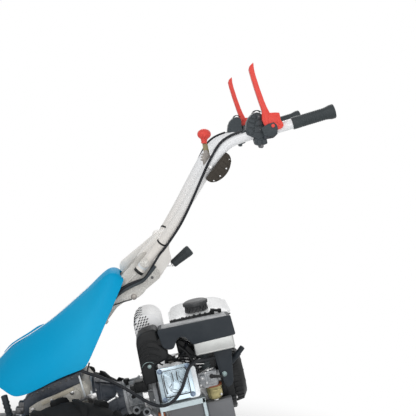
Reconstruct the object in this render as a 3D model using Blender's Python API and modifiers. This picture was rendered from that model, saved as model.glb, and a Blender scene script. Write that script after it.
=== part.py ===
"""Walk-behind sickle bar mower: two driven wheels, a tilted engine at the back,
a cutter bar at the front and a folding pair of handlebars.

Metres, +Z up. Forwards is -X and the machine's left side is -Y. Everything is
laid out from the wheel axle: X = 0 at the axle, Z = 0 on the ground. At the end
the whole machine is slid along X so that the middle of its box is at X = 0.
"""
import math

import bmesh
import bpy
from mathutils import Matrix, Vector

# Clearances
GAP = 0.0003                    # between pieces that touch
RUN = 0.0004                    # round a shaft that turns in a bore

# Wheels
TYRE_R = 0.222                  # over the lugs
TYRE_W = 0.110
TRACK_HALF = 0.168              # from the middle of the machine to a wheel's middle
RIM_R = 0.127
LUG_H = 0.013
LUG_COUNT = 11                  # on each side of a tyre
AXLE_R = 0.015
HUB_R = 0.036
HUB_OUT, HUB_IN = 0.030, 0.040  # hub ends, outside and inside the wheel's middle
NUT_T = 0.012

# Gearbox
GEARBOX_HALF_W = 0.085
GEARBOX_FRONT_X = -0.150
GEARBOX_WALL = 0.010
COVER_T = 0.020
COVER_OVERHANG = 0.004          # the lid past the gearbox's sides
LID_FRONT, LID_BACK = (-0.118, 0.428), (0.020, 0.485)   # ends of the sloping top, in side view
GEARBOX_DEPTH = 0.063           # the floor, under the axle
GEARBOX_REAR = (0.286, 0.478)   # heights of the face on the clutch housing
AXLE_TUBE_R = 0.032

# Engine, in its own tilted frame: x along the crankshaft to the rear, z up
ENGINE_TILT = math.radians(12)
CRANK_X = 0.350
CRANK_Z = 0.440
CRANK_R = 0.0125
CASE_FRONT, CASE_BACK = -0.115, 0.062
CASE_LEFT, CASE_RIGHT = -0.085, 0.100
CASE_BOTTOM, CASE_TOP = -0.106, 0.075
CYLINDER_X = -0.056             # middle of the cylinder along the crankshaft
CYLINDER_RISE = math.radians(18)
CYLINDER_HALF = 0.036           # of the barrel's square section
FIN_HALF = 0.0470               # of the square fins
FIN_COUNT, FIN_PITCH, FIN_T = 7, 0.0125, 0.0044
CASE_WALL = 0.012
HEAD_REACH = 0.182              # crankshaft to the cylinder head's face
VALVE_COVER_T = 0.030
BELL_FRONT = -0.300
BELL_R = 0.095
FAN_R = 0.098
BLADE_COUNT = 10
FAN_FRONT, FAN_BACK = CASE_BACK + GAP, 0.104
RECOIL_R = 0.084
RECOIL_BACK = 0.145
SLOT_COUNT = 10
TANK_FRONT, TANK_BACK = -0.034, 0.136
TANK_LEFT, TANK_RIGHT = -0.078, 0.120
TANK_BOTTOM, TANK_SEAM, TANK_TOP = 0.135, 0.200, 0.234
CAP_X, CAP_Y = 0.046, -0.026
CAP_R = 0.037
GROOVE_COUNT = 10
NECK_R = 0.025
BOX_LEFT, BOX_RIGHT = -0.200, TANK_LEFT - 0.003 - GAP
BOX_FRONT = -0.076
MUFFLER = ((-0.132, -0.052), (-0.066, 0.070), (0.160, 0.246))
MUFFLER_WALL = 0.003
GUARD_SPACE, GUARD_T = 0.004, 0.006
BOX_TOP, BOX_BOTTOM = 0.220, 0.158
BOWL_R = 0.019
CARB_X, CARB_Y = 0.038, -(FAN_R + 0.020)
CARB_TOP, CARB_BOTTOM = 0.058, 0.014
CARB_HALF_W = 0.023
CHOKE_X, CHOKE_Z = 0.046, 0.044
STARTER_AT = (0.131, -0.098, 0.077)       # middle of the parked grip
STARTER_PULL = (0.351, -0.902, 0.2505)    # the way it is pulled
STARTER_STEM = 0.022                      # from the grip's middle to the boss on the cover

# Handlebar and its head
PIVOT_X, PIVOT_Z = 0.198, 0.810
PIVOT_R = 0.008
EAR_IN, EAR_OUT = 0.034, 0.046
ARM_IN_Y, ARM_OUT_Y = 0.0795, 0.102   # the far cast arm
TUBE_R = 0.014
TUBE_WALL = 0.002
TUBE_SIDES = 10                 # what bevel resolution 3 gives
TUBE_START_Y = 0.062
GRIP_R = 0.0165
GRIP_FLARE_R = 0.0195
LEVER_PIN_R = 0.0035
CABLE_R = 0.0035
LEVER_PIN = (PIVOT_X + 0.339, -0.2835, PIVOT_Z + 0.389)
GEAR_PIVOT = (PIVOT_X + 0.1785, PIVOT_Z + 0.278)
GEAR_STEM = 0.075
GEAR_KNOB_R = 0.0175
GATE_STAND = 0.010              # gate plate's distance from the tube
GATE_T = 0.003
STEM_T = 0.005
KNEE_PAD_T = 0.032
LOCK_PIVOT = (PIVOT_X + 0.060, PIVOT_Z - 0.014)
LOCK_GRIP_LENGTH = 0.068

# Cutter bar
FINGER_PITCH = 0.0762
FINGER_COUNT = 15
FINGER_HALF_W = 0.011
CUTTER_REACH = 0.680            # from the axle to the back bar's rear edge
BAR_W, BAR_T = 0.070, 0.010
BAR_BOTTOM = 0.028
BAR_BACK = -CUTTER_REACH
BAR_FRONT = BAR_BACK - BAR_W
BAR_OVERHANG = 0.062            # past the last finger
KNIFE_T = 0.005
KNIFE_BACK = BAR_FRONT + 0.028
KNIFE_ROOT = BAR_FRONT + 0.002
KNIFE_TIP = BAR_FRONT - 0.056
FINGER_TIP = BAR_FRONT - 0.118
FINGER_BOTTOM, FINGER_TOP = 0.014, 0.057
SLOT_FRONT = BAR_FRONT - 0.082
SLOT_GAP = 0.0008
SHOE_W = 0.044
ARM_PIVOT_X = BAR_BACK + 0.080
ARM_REACH = 0.115
ARM_T = 0.014

# Finishes: colour, roughness, metallic
BLUE = ((0.020, 0.345, 0.640), 0.32, 0.0)
DARK = ((0.045, 0.060, 0.080), 0.45, 0.1)
CAST = ((0.50, 0.50, 0.50), 0.50, 0.7)
SILVER = ((0.66, 0.70, 0.74), 0.35, 0.8)
CREAM = ((0.64, 0.62, 0.58), 0.55, 0.0)
WHITE = ((0.82, 0.83, 0.85), 0.35, 0.0)
RED = ((0.73, 0.055, 0.040), 0.38, 0.0)
BLACK = ((0.020, 0.022, 0.024), 0.50, 0.0)
GREY = ((0.055, 0.060, 0.068), 0.45, 0.0)
RUBBER = ((0.018, 0.018, 0.018), 0.85, 0.0)
STEEL = ((0.55, 0.55, 0.56), 0.35, 0.9)
BAR_STEEL = ((0.16, 0.16, 0.165), 0.50, 0.8)
BRASS = ((0.55, 0.42, 0.16), 0.40, 0.8)
TANK = ((0.86, 0.87, 0.88), 0.30, 0.0)

for old in list(bpy.data.objects):
    bpy.data.objects.remove(old, do_unlink=True)
part = bpy.data.collections.new("sickle_bar_mower")
bench = bpy.data.collections.new("cutters")
bpy.context.scene.collection.children.link(part)
bpy.context.scene.collection.children.link(bench)


# Shapes

def keep(mesh, name="shape"):
    """Puts a mesh on the bench as a loose object."""
    obj = bpy.data.objects.new(name, mesh)
    bench.objects.link(obj)
    obj.hide_render = True
    obj.display_type = "WIRE"
    return obj


def from_bmesh(bm, recalc=True):
    if recalc:
        bmesh.ops.recalc_face_normals(bm, faces=bm.faces)
    mesh = bpy.data.meshes.new("shape")
    bm.to_mesh(mesh)
    bm.free()
    return keep(mesh)


def bevel_edges(bm, width, segments=1, sharp=math.radians(30)):
    edges = [e for e in bm.edges if len(e.link_faces) == 2 and e.calc_face_angle() > sharp]
    bmesh.ops.bevel(bm, geom=edges, offset=width, segments=segments, profile=0.5,
                    affect="EDGES", clamp_overlap=True)


def box(x, y, z, bevel=0.0, segments=1):
    """A box from three (low, high) pairs."""
    bm = bmesh.new()
    size = [abs(pair[1] - pair[0]) for pair in (x, y, z)]
    middle = [(pair[0] + pair[1]) / 2 for pair in (x, y, z)]
    bmesh.ops.create_cube(bm, size=1.0)
    bmesh.ops.scale(bm, vec=size, verts=bm.verts)
    if bevel:
        bevel_edges(bm, bevel, segments)
    bmesh.ops.translate(bm, vec=middle, verts=bm.verts)
    return from_bmesh(bm)


def aim(start, end):
    """Turns +Z onto the line from start to end, and moves to its start."""
    line = Vector(end) - Vector(start)
    return Matrix.Translation(Vector(start)) @ line.to_track_quat("Z", "Y").to_matrix().to_4x4()


def rod(start, end, radius, end_radius=None, sides=20, bevel=0.0):
    length = (Vector(end) - Vector(start)).length
    bm = bmesh.new()
    bmesh.ops.create_cone(bm, cap_ends=True, segments=sides, radius1=radius,
                          radius2=radius if end_radius is None else end_radius, depth=length)
    bmesh.ops.translate(bm, vec=(0, 0, length / 2), verts=bm.verts)
    if bevel:
        bevel_edges(bm, bevel, 1, math.radians(50))
    bmesh.ops.transform(bm, matrix=aim(start, end), verts=bm.verts)
    return from_bmesh(bm)


def turned(profile, start, direction, steps=24, closed=False):
    """Turns (radius, height) points about the line through start along direction."""
    bm = bmesh.new()
    verts = [bm.verts.new((r, 0, h)) for r, h in profile]
    for first, second in zip(verts, verts[1:] + ([verts[0]] if closed else [])):
        bm.edges.new((first, second))
    obj = from_bmesh(bm, recalc=False)
    screw = obj.modifiers.new("screw", "SCREW")
    screw.axis = "Z"
    screw.steps = steps
    screw.render_steps = steps
    screw.use_merge_vertices = True
    screw.merge_threshold = 0.00001
    bake(obj)
    place(obj, aim(start, Vector(start) + Vector(direction)))
    return obj


def sheet(points, low, high, plane="XZ", holes=(), bevel=0.0):
    """A flat outline, thick from low to high across its plane."""
    curve = bpy.data.curves.new("outline", "CURVE")
    curve.dimensions = "2D"
    curve.fill_mode = "BOTH"
    curve.extrude = (high - low) / 2
    for ring in (points, *holes):
        spline = curve.splines.new("POLY")
        spline.points.add(len(ring) - 1)
        for point, (a, b) in zip(spline.points, ring):
            point.co = (a, b, 0, 1)
        spline.use_cyclic_u = True
    obj = curve_to_mesh(curve)
    middle = (low + high) / 2
    if plane == "XZ":
        turn = Matrix.Translation((0, middle, 0)) @ Matrix.Rotation(math.radians(90), 4, "X")
    else:
        turn = Matrix.Translation((0, 0, middle))
    place(obj, turn)
    if bevel:
        bm = bmesh.new()
        bm.from_mesh(obj.data)
        bmesh.ops.dissolve_limit(bm, angle_limit=math.radians(1), verts=bm.verts, edges=bm.edges)
        bevel_edges(bm, bevel)
        bmesh.ops.recalc_face_normals(bm, faces=bm.faces)
        bm.to_mesh(obj.data)
        bm.free()
    return obj


def smooth_route(points, step):
    """Points about a step apart on a smooth curve through the given ones."""
    pts = [Vector(p) for p in points]
    pts = [2 * pts[0] - pts[1]] + pts + [2 * pts[-1] - pts[-2]]
    route = []
    for a, b, c, d in zip(pts, pts[1:], pts[2:], pts[3:]):
        count = max(1, round((c - b).length / step))
        for i in range(count):
            t = i / count
            route.append(0.5 * (2 * b + (c - a) * t + (2 * a - 5 * b + 4 * c - d) * t * t
                                + (3 * b - a - 3 * c + d) * t ** 3))
    return route + [pts[-2]]


def tube(points, radius, resolution=2):
    curve = bpy.data.curves.new("tube", "CURVE")
    curve.dimensions = "3D"
    curve.bevel_depth = radius
    curve.bevel_resolution = resolution
    curve.use_fill_caps = True
    spline = curve.splines.new("POLY")
    spline.points.add(len(points) - 1)
    for point, place_at in zip(spline.points, points):
        point.co = (*place_at, 1)
    return curve_to_mesh(curve)


def curve_to_mesh(curve):
    guide = bpy.data.objects.new("guide", curve)
    bench.objects.link(guide)
    bpy.context.view_layer.update()
    mesh = bpy.data.meshes.new_from_object(guide.evaluated_get(bpy.context.evaluated_depsgraph_get()))
    matrix = guide.matrix_world.copy()
    bpy.data.objects.remove(guide, do_unlink=True)
    bm = bmesh.new()
    bm.from_mesh(mesh)
    bmesh.ops.remove_doubles(bm, verts=bm.verts, dist=0.00001)
    bmesh.ops.recalc_face_normals(bm, faces=bm.faces)
    bm.to_mesh(mesh)
    bm.free()
    obj = keep(mesh)
    obj.matrix_world = matrix
    return obj


def place(obj, matrix):
    """Moves the points of a mesh; a mirrored one is turned right side out."""
    obj.data.transform(matrix)
    if matrix.determinant() < 0:
        obj.data.flip_normals()
    return obj


def copy_of(obj, matrix=Matrix.Identity(4)):
    return place(keep(obj.data.copy()), matrix)


def mirrored(obj):
    return copy_of(obj, Matrix.Scale(-1, 4, (0, 1, 0)))


def bake(obj, recalc=True):
    """Replaces an object's mesh with what its modifiers make of it."""
    bpy.context.view_layer.update()
    mesh = bpy.data.meshes.new_from_object(obj.evaluated_get(bpy.context.evaluated_depsgraph_get()))
    obj.modifiers.clear()
    obj.data = mesh
    bm = bmesh.new()
    bm.from_mesh(mesh)
    bmesh.ops.remove_doubles(bm, verts=bm.verts, dist=0.000001)
    if recalc:
        bmesh.ops.recalc_face_normals(bm, faces=bm.faces)
    bm.to_mesh(mesh)
    bm.free()


def combine(obj, others, operation):
    for other in others:
        step = obj.modifiers.new("step", "BOOLEAN")
        step.operation = operation
        step.solver = "EXACT"
        step.object = other
        bake(obj, recalc=False)
        bpy.data.objects.remove(other, do_unlink=True)
    return obj


def join(obj, *others):
    return combine(obj, others, "UNION")


def cut(obj, *others):
    return combine(obj, others, "DIFFERENCE")


def arc(centre, radius, start, end, count):
    """Points on an arc in the outline's plane, angles in degrees."""
    angles = [math.radians(start + (end - start) * i / (count - 1)) for i in range(count)]
    return [(centre[0] + radius * math.cos(a), centre[1] + radius * math.sin(a)) for a in angles]


# Pieces and what carries them

def frame_at(name, parent, location, tilt=0.0):
    """An empty on a joint's axis, or at the origin of a group of pieces."""
    empty = bpy.data.objects.new(name, None)
    part.objects.link(empty)
    empty.parent = parent
    empty.location = location
    empty.rotation_euler = (0, -tilt, 0)
    return empty


def material(name, finish):
    """Each piece has a material of its own, named after it."""
    colour, roughness, metallic = finish
    made = bpy.data.materials.new(name)
    made.use_nodes = True
    shader = made.node_tree.nodes["Principled BSDF"]
    shader.inputs["Base Color"].default_value = (*colour, 1)
    shader.inputs["Roughness"].default_value = roughness
    shader.inputs["Metallic"].default_value = metallic
    return made


def piece(name, obj, finish, parent, shift=(0, 0, 0)):
    """Names a finished shape and hangs it on its carrier; shift is the carrier's place."""
    obj.data.transform(Matrix.Translation(-Vector(shift)))
    obj.name = name
    obj.data.name = name
    obj.data.materials.clear()
    obj.data.materials.append(material(name, finish))
    obj.data.shade_smooth()
    obj.data.set_sharp_from_angle(angle=math.radians(32))
    bench.objects.unlink(obj)
    part.objects.link(obj)
    obj.hide_render = False
    obj.display_type = "TEXTURED"
    obj.parent = parent
    return obj


def both_sides(make, name, finish, parents, shift):
    """Makes a left piece and its mirror image on the right."""
    left = make()
    right = mirrored(left)
    piece("left_" + name, left, finish, parents[0], shift)
    piece("right_" + name, right, finish, parents[1], (shift[0], -shift[1], shift[2]))


# Wheels

def make_tyre():
    """A closed ring section with chevron lugs, turned about the axle."""
    crown = TYRE_R - LUG_H
    half = TYRE_W / 2
    bead = RIM_R + GAP
    outer = [(bead, half * 0.62), (crown - 0.045, half * 0.97),
             (crown - 0.016, half * 0.86), (crown, half * 0.35)]
    section = [(r, -y) for r, y in outer] + list(reversed(outer))
    hollow = [(bead, half * 0.50), (crown - 0.030, half * 0.72),
              (crown - 0.030, -half * 0.72), (bead, -half * 0.50)]
    tyre = turned(section + hollow, (0, 0, 0), (0, 1, 0), 24, closed=True)
    lean = math.radians(35)
    lug_length, lug_width, lug_depth = half * 1.02, 0.019, LUG_H + 0.010
    corner = lug_length / 2 * math.sin(lean) + lug_width / 2 * math.cos(lean)
    top = math.sqrt(TYRE_R ** 2 - corner ** 2)
    for side in (-1, 1):
        for k in range(LUG_COUNT):
            bm = bmesh.new()
            bmesh.ops.create_cube(bm, size=1.0)
            bmesh.ops.scale(bm, vec=(lug_width, lug_length, lug_depth), verts=bm.verts)
            shoulder = [v for v in bm.verts if v.co.y * side > 0 and v.co.z > 0]
            bmesh.ops.translate(bm, vec=(0, 0, -LUG_H * 0.55), verts=shoulder)
            turn = 2 * math.pi * (k + (0.25 if side > 0 else -0.25)) / LUG_COUNT
            matrix = (Matrix.Rotation(turn, 4, "Y")
                      @ Matrix.Translation((0, side * lug_length * 0.47, -(top - lug_depth / 2)))
                      @ Matrix.Rotation(math.pi, 4, "Y") @ Matrix.Rotation(side * lean, 4, "Z"))
            bmesh.ops.transform(bm, matrix=matrix, verts=bm.verts)
            join(tyre, from_bmesh(bm))
    return place(tyre, Matrix.Translation((0, -TRACK_HALF, TYRE_R)))


def make_rim():
    """A pressed disc with its hub and rim, outer side at -Y."""
    bore = AXLE_R + RUN
    lip = TYRE_W * 0.31 - GAP
    well = RIM_R - 0.007
    edge = RIM_R - 0.001
    dish = HUB_R + 0.030
    profile = [(bore, -HUB_OUT), (HUB_R, -HUB_OUT), (HUB_R, -0.012), (dish, 0.004), (well - 0.002, 0.008),
               (well, -lip * 0.75), (edge, -lip), (edge, lip), (well, lip * 0.75), (well - 0.002, 0.013),
               (dish - 0.002, 0.009), (HUB_R, -0.006), (HUB_R, HUB_IN), (bore, HUB_IN)]
    rim = turned(profile, (0, 0, 0), (0, 1, 0), 20, closed=True)
    return place(rim, Matrix.Translation((0, -TRACK_HALF, TYRE_R)))


def make_axle():
    """A half shaft from inside the gearbox to a nut outside the hub."""
    inner = -0.006
    hub_face = -(TRACK_HALF + HUB_OUT + GAP)
    hub_back = -(TRACK_HALF - HUB_IN - GAP)
    shaft = rod((0, inner, TYRE_R), (0, hub_face - NUT_T * 1.5, TYRE_R), AXLE_R, sides=16)
    nut = rod((0, hub_face, TYRE_R), (0, hub_face - NUT_T, TYRE_R), AXLE_R * 1.5, sides=6)
    gear = rod((0, inner, TYRE_R), (0, inner - 0.024, TYRE_R), AXLE_R + 0.025, sides=20)
    collar = rod((0, hub_back, TYRE_R), (0, hub_back + 0.008, TYRE_R), AXLE_R + 0.010, sides=16)
    return join(shaft, nut, gear, collar)


# Gearbox and clutch housing

def bell_face_x(z):
    """Where the plane of the clutch housing's front, less the gap, is at a height."""
    rise = (z - CRANK_Z) * math.sin(ENGINE_TILT)
    return CRANK_X + (BELL_FRONT - GAP - rise) / math.cos(ENGINE_TILT)


def gearbox_outline(inset):
    """The side view: its floor is under the axle, and its rear face meets the tilted clutch housing."""
    front = GEARBOX_FRONT_X + inset
    low, top = GEARBOX_REAR
    floor = TYRE_R - GEARBOX_DEPTH + inset
    return [(front, floor + 0.033), (front, LID_FRONT[1] - 0.023), (LID_FRONT[0] + inset * 0.6, LID_FRONT[1]),
            (LID_BACK[0] - inset, LID_BACK[1]), (bell_face_x(top) - inset, top),
            (bell_face_x(low) - inset, low), (0.066 - inset, floor + 0.053), (0.044 - inset, floor + 0.008),
            (-0.110 + inset, floor)]


def make_gearbox():
    """A cast shell, open at its sloping top, with the axle tubes on its sides."""
    half = GEARBOX_HALF_W
    shell = sheet(gearbox_outline(0.0), -half, half, bevel=0.006)
    for side in (-1, 1):
        join(shell, rod((0, side * (half - 0.004), TYRE_R), (0, side * (TRACK_HALF - HUB_IN - 0.012), TYRE_R),
                        AXLE_TUBE_R * 1.35, AXLE_TUBE_R, sides=20))
    room = sheet(gearbox_outline(GEARBOX_WALL), GEARBOX_WALL - half, half - GEARBOX_WALL)
    ledge = GEARBOX_WALL * 1.8
    mouth = box((LID_FRONT[0] + ledge, LID_BACK[0] - ledge + 0.004), (ledge - half, half - ledge),
                (LID_FRONT[1] - 0.128, LID_BACK[1] + 0.115))
    bore = rod((0, -TRACK_HALF, TYRE_R), (0, TRACK_HALF, TYRE_R), AXLE_R + RUN, sides=20)
    return cut(shell, room, mouth, bore)


def make_gearbox_cover():
    """The dark lid on the gearbox's sloping top, a little proud of its sides."""
    low, high = Vector(LID_FRONT), Vector(LID_BACK)
    along = (high - low).normalized()
    up = Vector((-along.y, along.x))
    first = low + up * GAP + along * 0.002
    last = high + up * GAP - along * 0.001
    outline = [first, last, last + up * COVER_T, first + up * COVER_T]
    half = GEARBOX_HALF_W + COVER_OVERHANG
    return sheet([tuple(p) for p in outline], -half, half, bevel=0.004)


def make_bell():
    """The clutch housing between gearbox and engine, turned on the crankshaft's line."""
    wall = 0.007
    front, back = BELL_FRONT, CASE_FRONT - GAP
    hole = CRANK_R * 2
    face = BELL_R - 0.020
    inside = BELL_R - wall
    profile = [(hole, front), (face, front), (BELL_R - 0.012, front + 0.040), (BELL_R - 0.006, back - 0.014),
               (BELL_R + 0.004, back - 0.012), (BELL_R + 0.004, back), (inside - 0.006, back),
               (inside - 0.018, front + 0.044), (face - 0.014, front + wall * 2), (hole, front + wall * 2)]
    return turned(profile, (0, 0, 0), (1, 0, 0), 20, closed=True)


# Engine

def make_crankcase():
    """The block and its finned cylinder, hollow round the crankshaft."""
    case = box((CASE_FRONT, CASE_BACK), (CASE_LEFT, CASE_RIGHT), (CASE_BOTTOM, CASE_TOP), 0.008)
    half = CYLINDER_HALF
    barrel = box((-half, half), (-half, half), (0.060, HEAD_REACH), 0.004)
    fins = []
    for k in range(FIN_COUNT):
        at = HEAD_REACH - 0.010 - k * FIN_PITCH
        fins.append(box((-FIN_HALF, FIN_HALF), (-FIN_HALF, FIN_HALF), (at - FIN_T / 2, at + FIN_T / 2)))
    join(case, along_cylinder(join(barrel, *fins)))
    wall = CASE_WALL
    room = box((CASE_FRONT + wall, CASE_BACK - wall), (CASE_LEFT + wall, CASE_RIGHT - wall),
               (CASE_BOTTOM + wall, CASE_TOP - wall))
    shaft_bore = rod((CASE_FRONT - wall, 0, 0), (CASE_BACK + wall, 0, 0), CRANK_R + RUN, sides=16)
    return cut(case, room, shaft_bore)


def along_cylinder(obj):
    """Turns a shape built along +Z onto the cylinder's line."""
    return place(obj, Matrix.Translation((CYLINDER_X, 0, 0)) @ Matrix.Rotation(-CYLINDER_RISE, 4, "X")
                 @ Matrix.Rotation(math.radians(90), 4, "X"))


def make_valve_cover():
    """The rounded alloy cap on the cylinder head, with its flat flange."""
    half = FIN_HALF - 0.004
    low = HEAD_REACH + GAP
    flange = box((-half, half), (-half, half), (low, low + 0.006), 0.002)
    side = 0.0086
    dome = box((side - half, half - side), (side + 0.0016 - half, half - side + 0.0017),
               (low + 0.004, low + VALVE_COVER_T), 0.011, 2)
    return along_cylinder(join(flange, dome))


def make_crankshaft():
    """The shaft with one throw and the clutch drum in the bell housing."""
    shaft = rod((BELL_FRONT + 0.002, 0, 0), (FAN_BACK + 0.012, 0, 0), CRANK_R, sides=16)
    for x in (CYLINDER_X - 0.032, CYLINDER_X + 0.020):
        join(shaft, rod((x, 0, 0), (x + 0.012, 0, 0), 0.046, sides=16))
    drum = rod((CASE_FRONT - 0.045, 0, 0), (CASE_FRONT - 0.015, 0, 0), BELL_R - 0.034, sides=20)
    return join(shaft, drum)


def make_flywheel():
    """Flywheel disc with its fan blades, on the shaft's end."""
    wheel = rod((FAN_FRONT + 0.006, 0, 0), (FAN_FRONT + 0.016, 0, 0), FAN_R - 0.016, sides=24)
    blades = []
    for k in range(BLADE_COUNT):
        blade = box((FAN_FRONT + 0.014, FAN_BACK - 0.004), (-0.0015, 0.0015), (0.040, FAN_R - 0.018))
        blades.append(place(blade, Matrix.Rotation(2 * math.pi * k / BLADE_COUNT, 4, "X")))
    join(wheel, *blades)
    bore = rod((FAN_FRONT, 0, 0), (FAN_BACK, 0, 0), CRANK_R + GAP, sides=16)
    return cut(wheel, bore)


def make_fan_housing():
    wall = 0.003
    lip = RECOIL_R - 0.010
    rim = FAN_R - 0.012
    profile = [(rim, FAN_FRONT), (FAN_R, FAN_FRONT), (FAN_R, FAN_BACK - 0.008),
               (FAN_R - 0.008, FAN_BACK), (lip, FAN_BACK), (lip, FAN_BACK - wall),
               (FAN_R - 0.009, FAN_BACK - wall), (FAN_R - wall, FAN_BACK - 0.009),
               (FAN_R - wall, FAN_FRONT + wall), (rim, FAN_FRONT + wall)]
    return turned(profile, (0, 0, 0), (1, 0, 0), 24, closed=True)


def starter_point(along):
    """A point on the starter grip's line, from the middle of the parked grip."""
    return Vector(STARTER_AT) + Vector(STARTER_PULL).normalized() * along


def make_recoil():
    """The slotted starter cover on the fan housing."""
    wall = 0.003
    front = FAN_BACK + GAP
    knee = RECOIL_BACK - 0.020
    hole = 0.018
    profile = [(RECOIL_R, front), (RECOIL_R, knee), (RECOIL_R - 0.022, RECOIL_BACK), (hole, RECOIL_BACK),
               (hole, RECOIL_BACK - wall), (RECOIL_R - 0.023, RECOIL_BACK - wall),
               (RECOIL_R - wall, knee - 0.001), (RECOIL_R - wall, front)]
    cover = turned(profile, (0, 0, 0), (1, 0, 0), 24, closed=True)
    slots = []
    for k in range(SLOT_COUNT):
        slot = box((knee - 0.016, knee - 0.004), (-0.012, 0.012), (RECOIL_R - 0.010, RECOIL_R + 0.010))
        slots.append(place(slot, Matrix.Rotation(2 * math.pi * (k + 0.5) / SLOT_COUNT, 4, "X")))
    cut(cover, *slots)
    return join(cover, rod(starter_point(-0.052), starter_point(-STARTER_STEM), 0.008, sides=12))


def make_tank():
    """A rounded two-part tank with its seam flange, filler neck and dished top."""
    upper = box((TANK_FRONT, TANK_BACK), (TANK_LEFT, TANK_RIGHT), (TANK_SEAM - 0.02, TANK_TOP), 0.017, 2)
    lower = box((TANK_FRONT + 0.003, TANK_BACK - 0.003), (TANK_LEFT + 0.003, TANK_RIGHT - 0.003),
                (TANK_BOTTOM, TANK_SEAM), 0.012)
    seam = box((TANK_FRONT - 0.006, TANK_BACK + 0.006), (TANK_LEFT - 0.003, TANK_RIGHT + 0.006),
               (TANK_SEAM - 0.003, TANK_SEAM + 0.003), 0.0012)
    join(lower, seam, upper)
    dish = rod((CAP_X, CAP_Y, TANK_TOP - 0.022), (CAP_X, CAP_Y, TANK_TOP + 0.01),
               CAP_R + 0.010, CAP_R + 0.020, sides=28)
    cut(lower, dish)
    neck = rod((CAP_X, CAP_Y, TANK_TOP - 0.03), (CAP_X, CAP_Y, TANK_TOP - 0.008), NECK_R, sides=24)
    join(lower, neck)
    room = box((TANK_FRONT + 0.008, TANK_BACK - 0.008), (TANK_LEFT + 0.008, TANK_RIGHT - 0.008),
               (TANK_BOTTOM + 0.005, TANK_TOP - 0.028), 0.010)
    mouth = rod((CAP_X, CAP_Y, TANK_BOTTOM + 0.02), (CAP_X, CAP_Y, TANK_TOP + 0.02), NECK_R - 0.005, sides=20)
    return cut(lower, room, mouth)


def make_tank_bracket():
    """A bent plate that stands on the block and carries the tank."""
    low, high, wall = CASE_TOP + GAP, TANK_BOTTOM - GAP, 0.003
    front, back = TANK_FRONT + 0.012, CASE_BACK - 0.012
    outline = [(front, low), (front + wall, low), (front + wall, high - wall), (back - wall, high - wall),
               (back - wall, low), (back, low), (back, high), (front, high)]
    return sheet(outline, -0.040, 0.070)


def make_cap():
    """The knurled filler cap: a skirt round the neck under a wide top."""
    seat = TANK_TOP - 0.008 + GAP
    top = seat + 0.020
    skirt, skirt_in = NECK_R + 0.004, NECK_R + 0.0008
    profile = [(0.0, top), (CAP_R - 0.004, top), (CAP_R, top - 0.004), (CAP_R, seat + 0.006),
               (CAP_R - 0.005, seat + 0.002), (skirt, seat + 0.001), (skirt, seat - 0.009),
               (skirt_in, seat - 0.009), (skirt_in, seat), (0.0, seat)]
    cap = turned(profile, (CAP_X, CAP_Y, 0), (0, 0, 1), 20)
    grooves = []
    for k in range(GROOVE_COUNT):
        groove = rod((CAP_R + 0.0015, 0, seat), (CAP_R + 0.0015, 0, top + 0.01), 0.0032, sides=6)
        turn = Matrix.Rotation(2 * math.pi * (k + 0.5) / GROOVE_COUNT, 4, "Z")
        place(groove, Matrix.Translation((CAP_X, CAP_Y, 0)) @ turn)
        grooves.append(groove)
    return cut(cap, *grooves)


def make_air_cover():
    """The long dark air cleaner cover with an arch in its lower edge."""
    outline = [(0.129, BOX_TOP - 0.004), (0.134, BOX_BOTTOM + 0.002), (0.016, BOX_BOTTOM), (0.004, 0.172),
               (-0.010, 0.186), (-0.026, 0.184), (-0.036, 0.168), (-0.046, BOX_BOTTOM), (-0.070, 0.170),
               (BOX_FRONT, BOX_TOP)]
    cover = sheet(list(reversed(outline)), BOX_LEFT, BOX_RIGHT, bevel=0.006)
    hollow = box((0.024, 0.122), (BOX_LEFT + 0.006, BOX_RIGHT - 0.006), (BOX_BOTTOM - 0.02, BOX_TOP - 0.012))
    return cut(cover, hollow)


def make_air_body():
    """The plain metal band and base under the cover, with the elbow to the carburettor."""
    band = box((0.014, 0.128), (BOX_LEFT + 0.030, BOX_RIGHT - 0.0005), (0.116, BOX_BOTTOM - GAP), 0.004)
    elbow = rod((CARB_X, CARB_Y, 0.118), (CARB_X, CARB_Y, CARB_TOP + GAP), 0.017, sides=16)
    return join(band, elbow)


def grown(pairs, by):
    """The (low, high) pairs of a box, larger by the same amount on every side."""
    return [(low - by, high + by) for low, high in pairs]


def make_muffler():
    """The muffler box on its pipe from the block, with its outlet and the studs that hold its guard."""
    x, y, z = MUFFLER
    can = box(x, y, z, 0.014, 2)
    across, along = x[0] + 0.024, y[1] - 0.024
    outlet = rod((across, along, z[0] - 0.01), (across, along, z[0] + 0.02), 0.010, sides=12)
    cut(can, box(*grown(MUFFLER, -MUFFLER_WALL), 0.011), outlet)
    middle = (x[0] + x[1]) / 2
    pipe = rod((middle, 0, CASE_TOP + GAP), (middle, 0, z[0] + MUFFLER_WALL / 2), 0.017, sides=16)
    join(can, pipe)
    height = (z[0] + z[1]) / 2
    for wall, guard in ((y[0] + MUFFLER_WALL / 2, y[0] - GUARD_SPACE + GAP),
                        (y[1] - MUFFLER_WALL / 2, y[1] + GUARD_SPACE - GAP)):
        join(can, rod((middle, wall, height), (middle, guard, height), 0.008, sides=12))
    return can


def make_muffler_guard():
    """A shell over the muffler, open below."""
    x, y, z = grown(MUFFLER, GUARD_SPACE + GUARD_T)
    outer = box(x, y, (MUFFLER[2][0] + 0.018, z[1]), 0.016, 2)
    x, y, z = grown(MUFFLER, GUARD_SPACE)
    return cut(outer, box(x, y, z, 0.012, 2))


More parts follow.
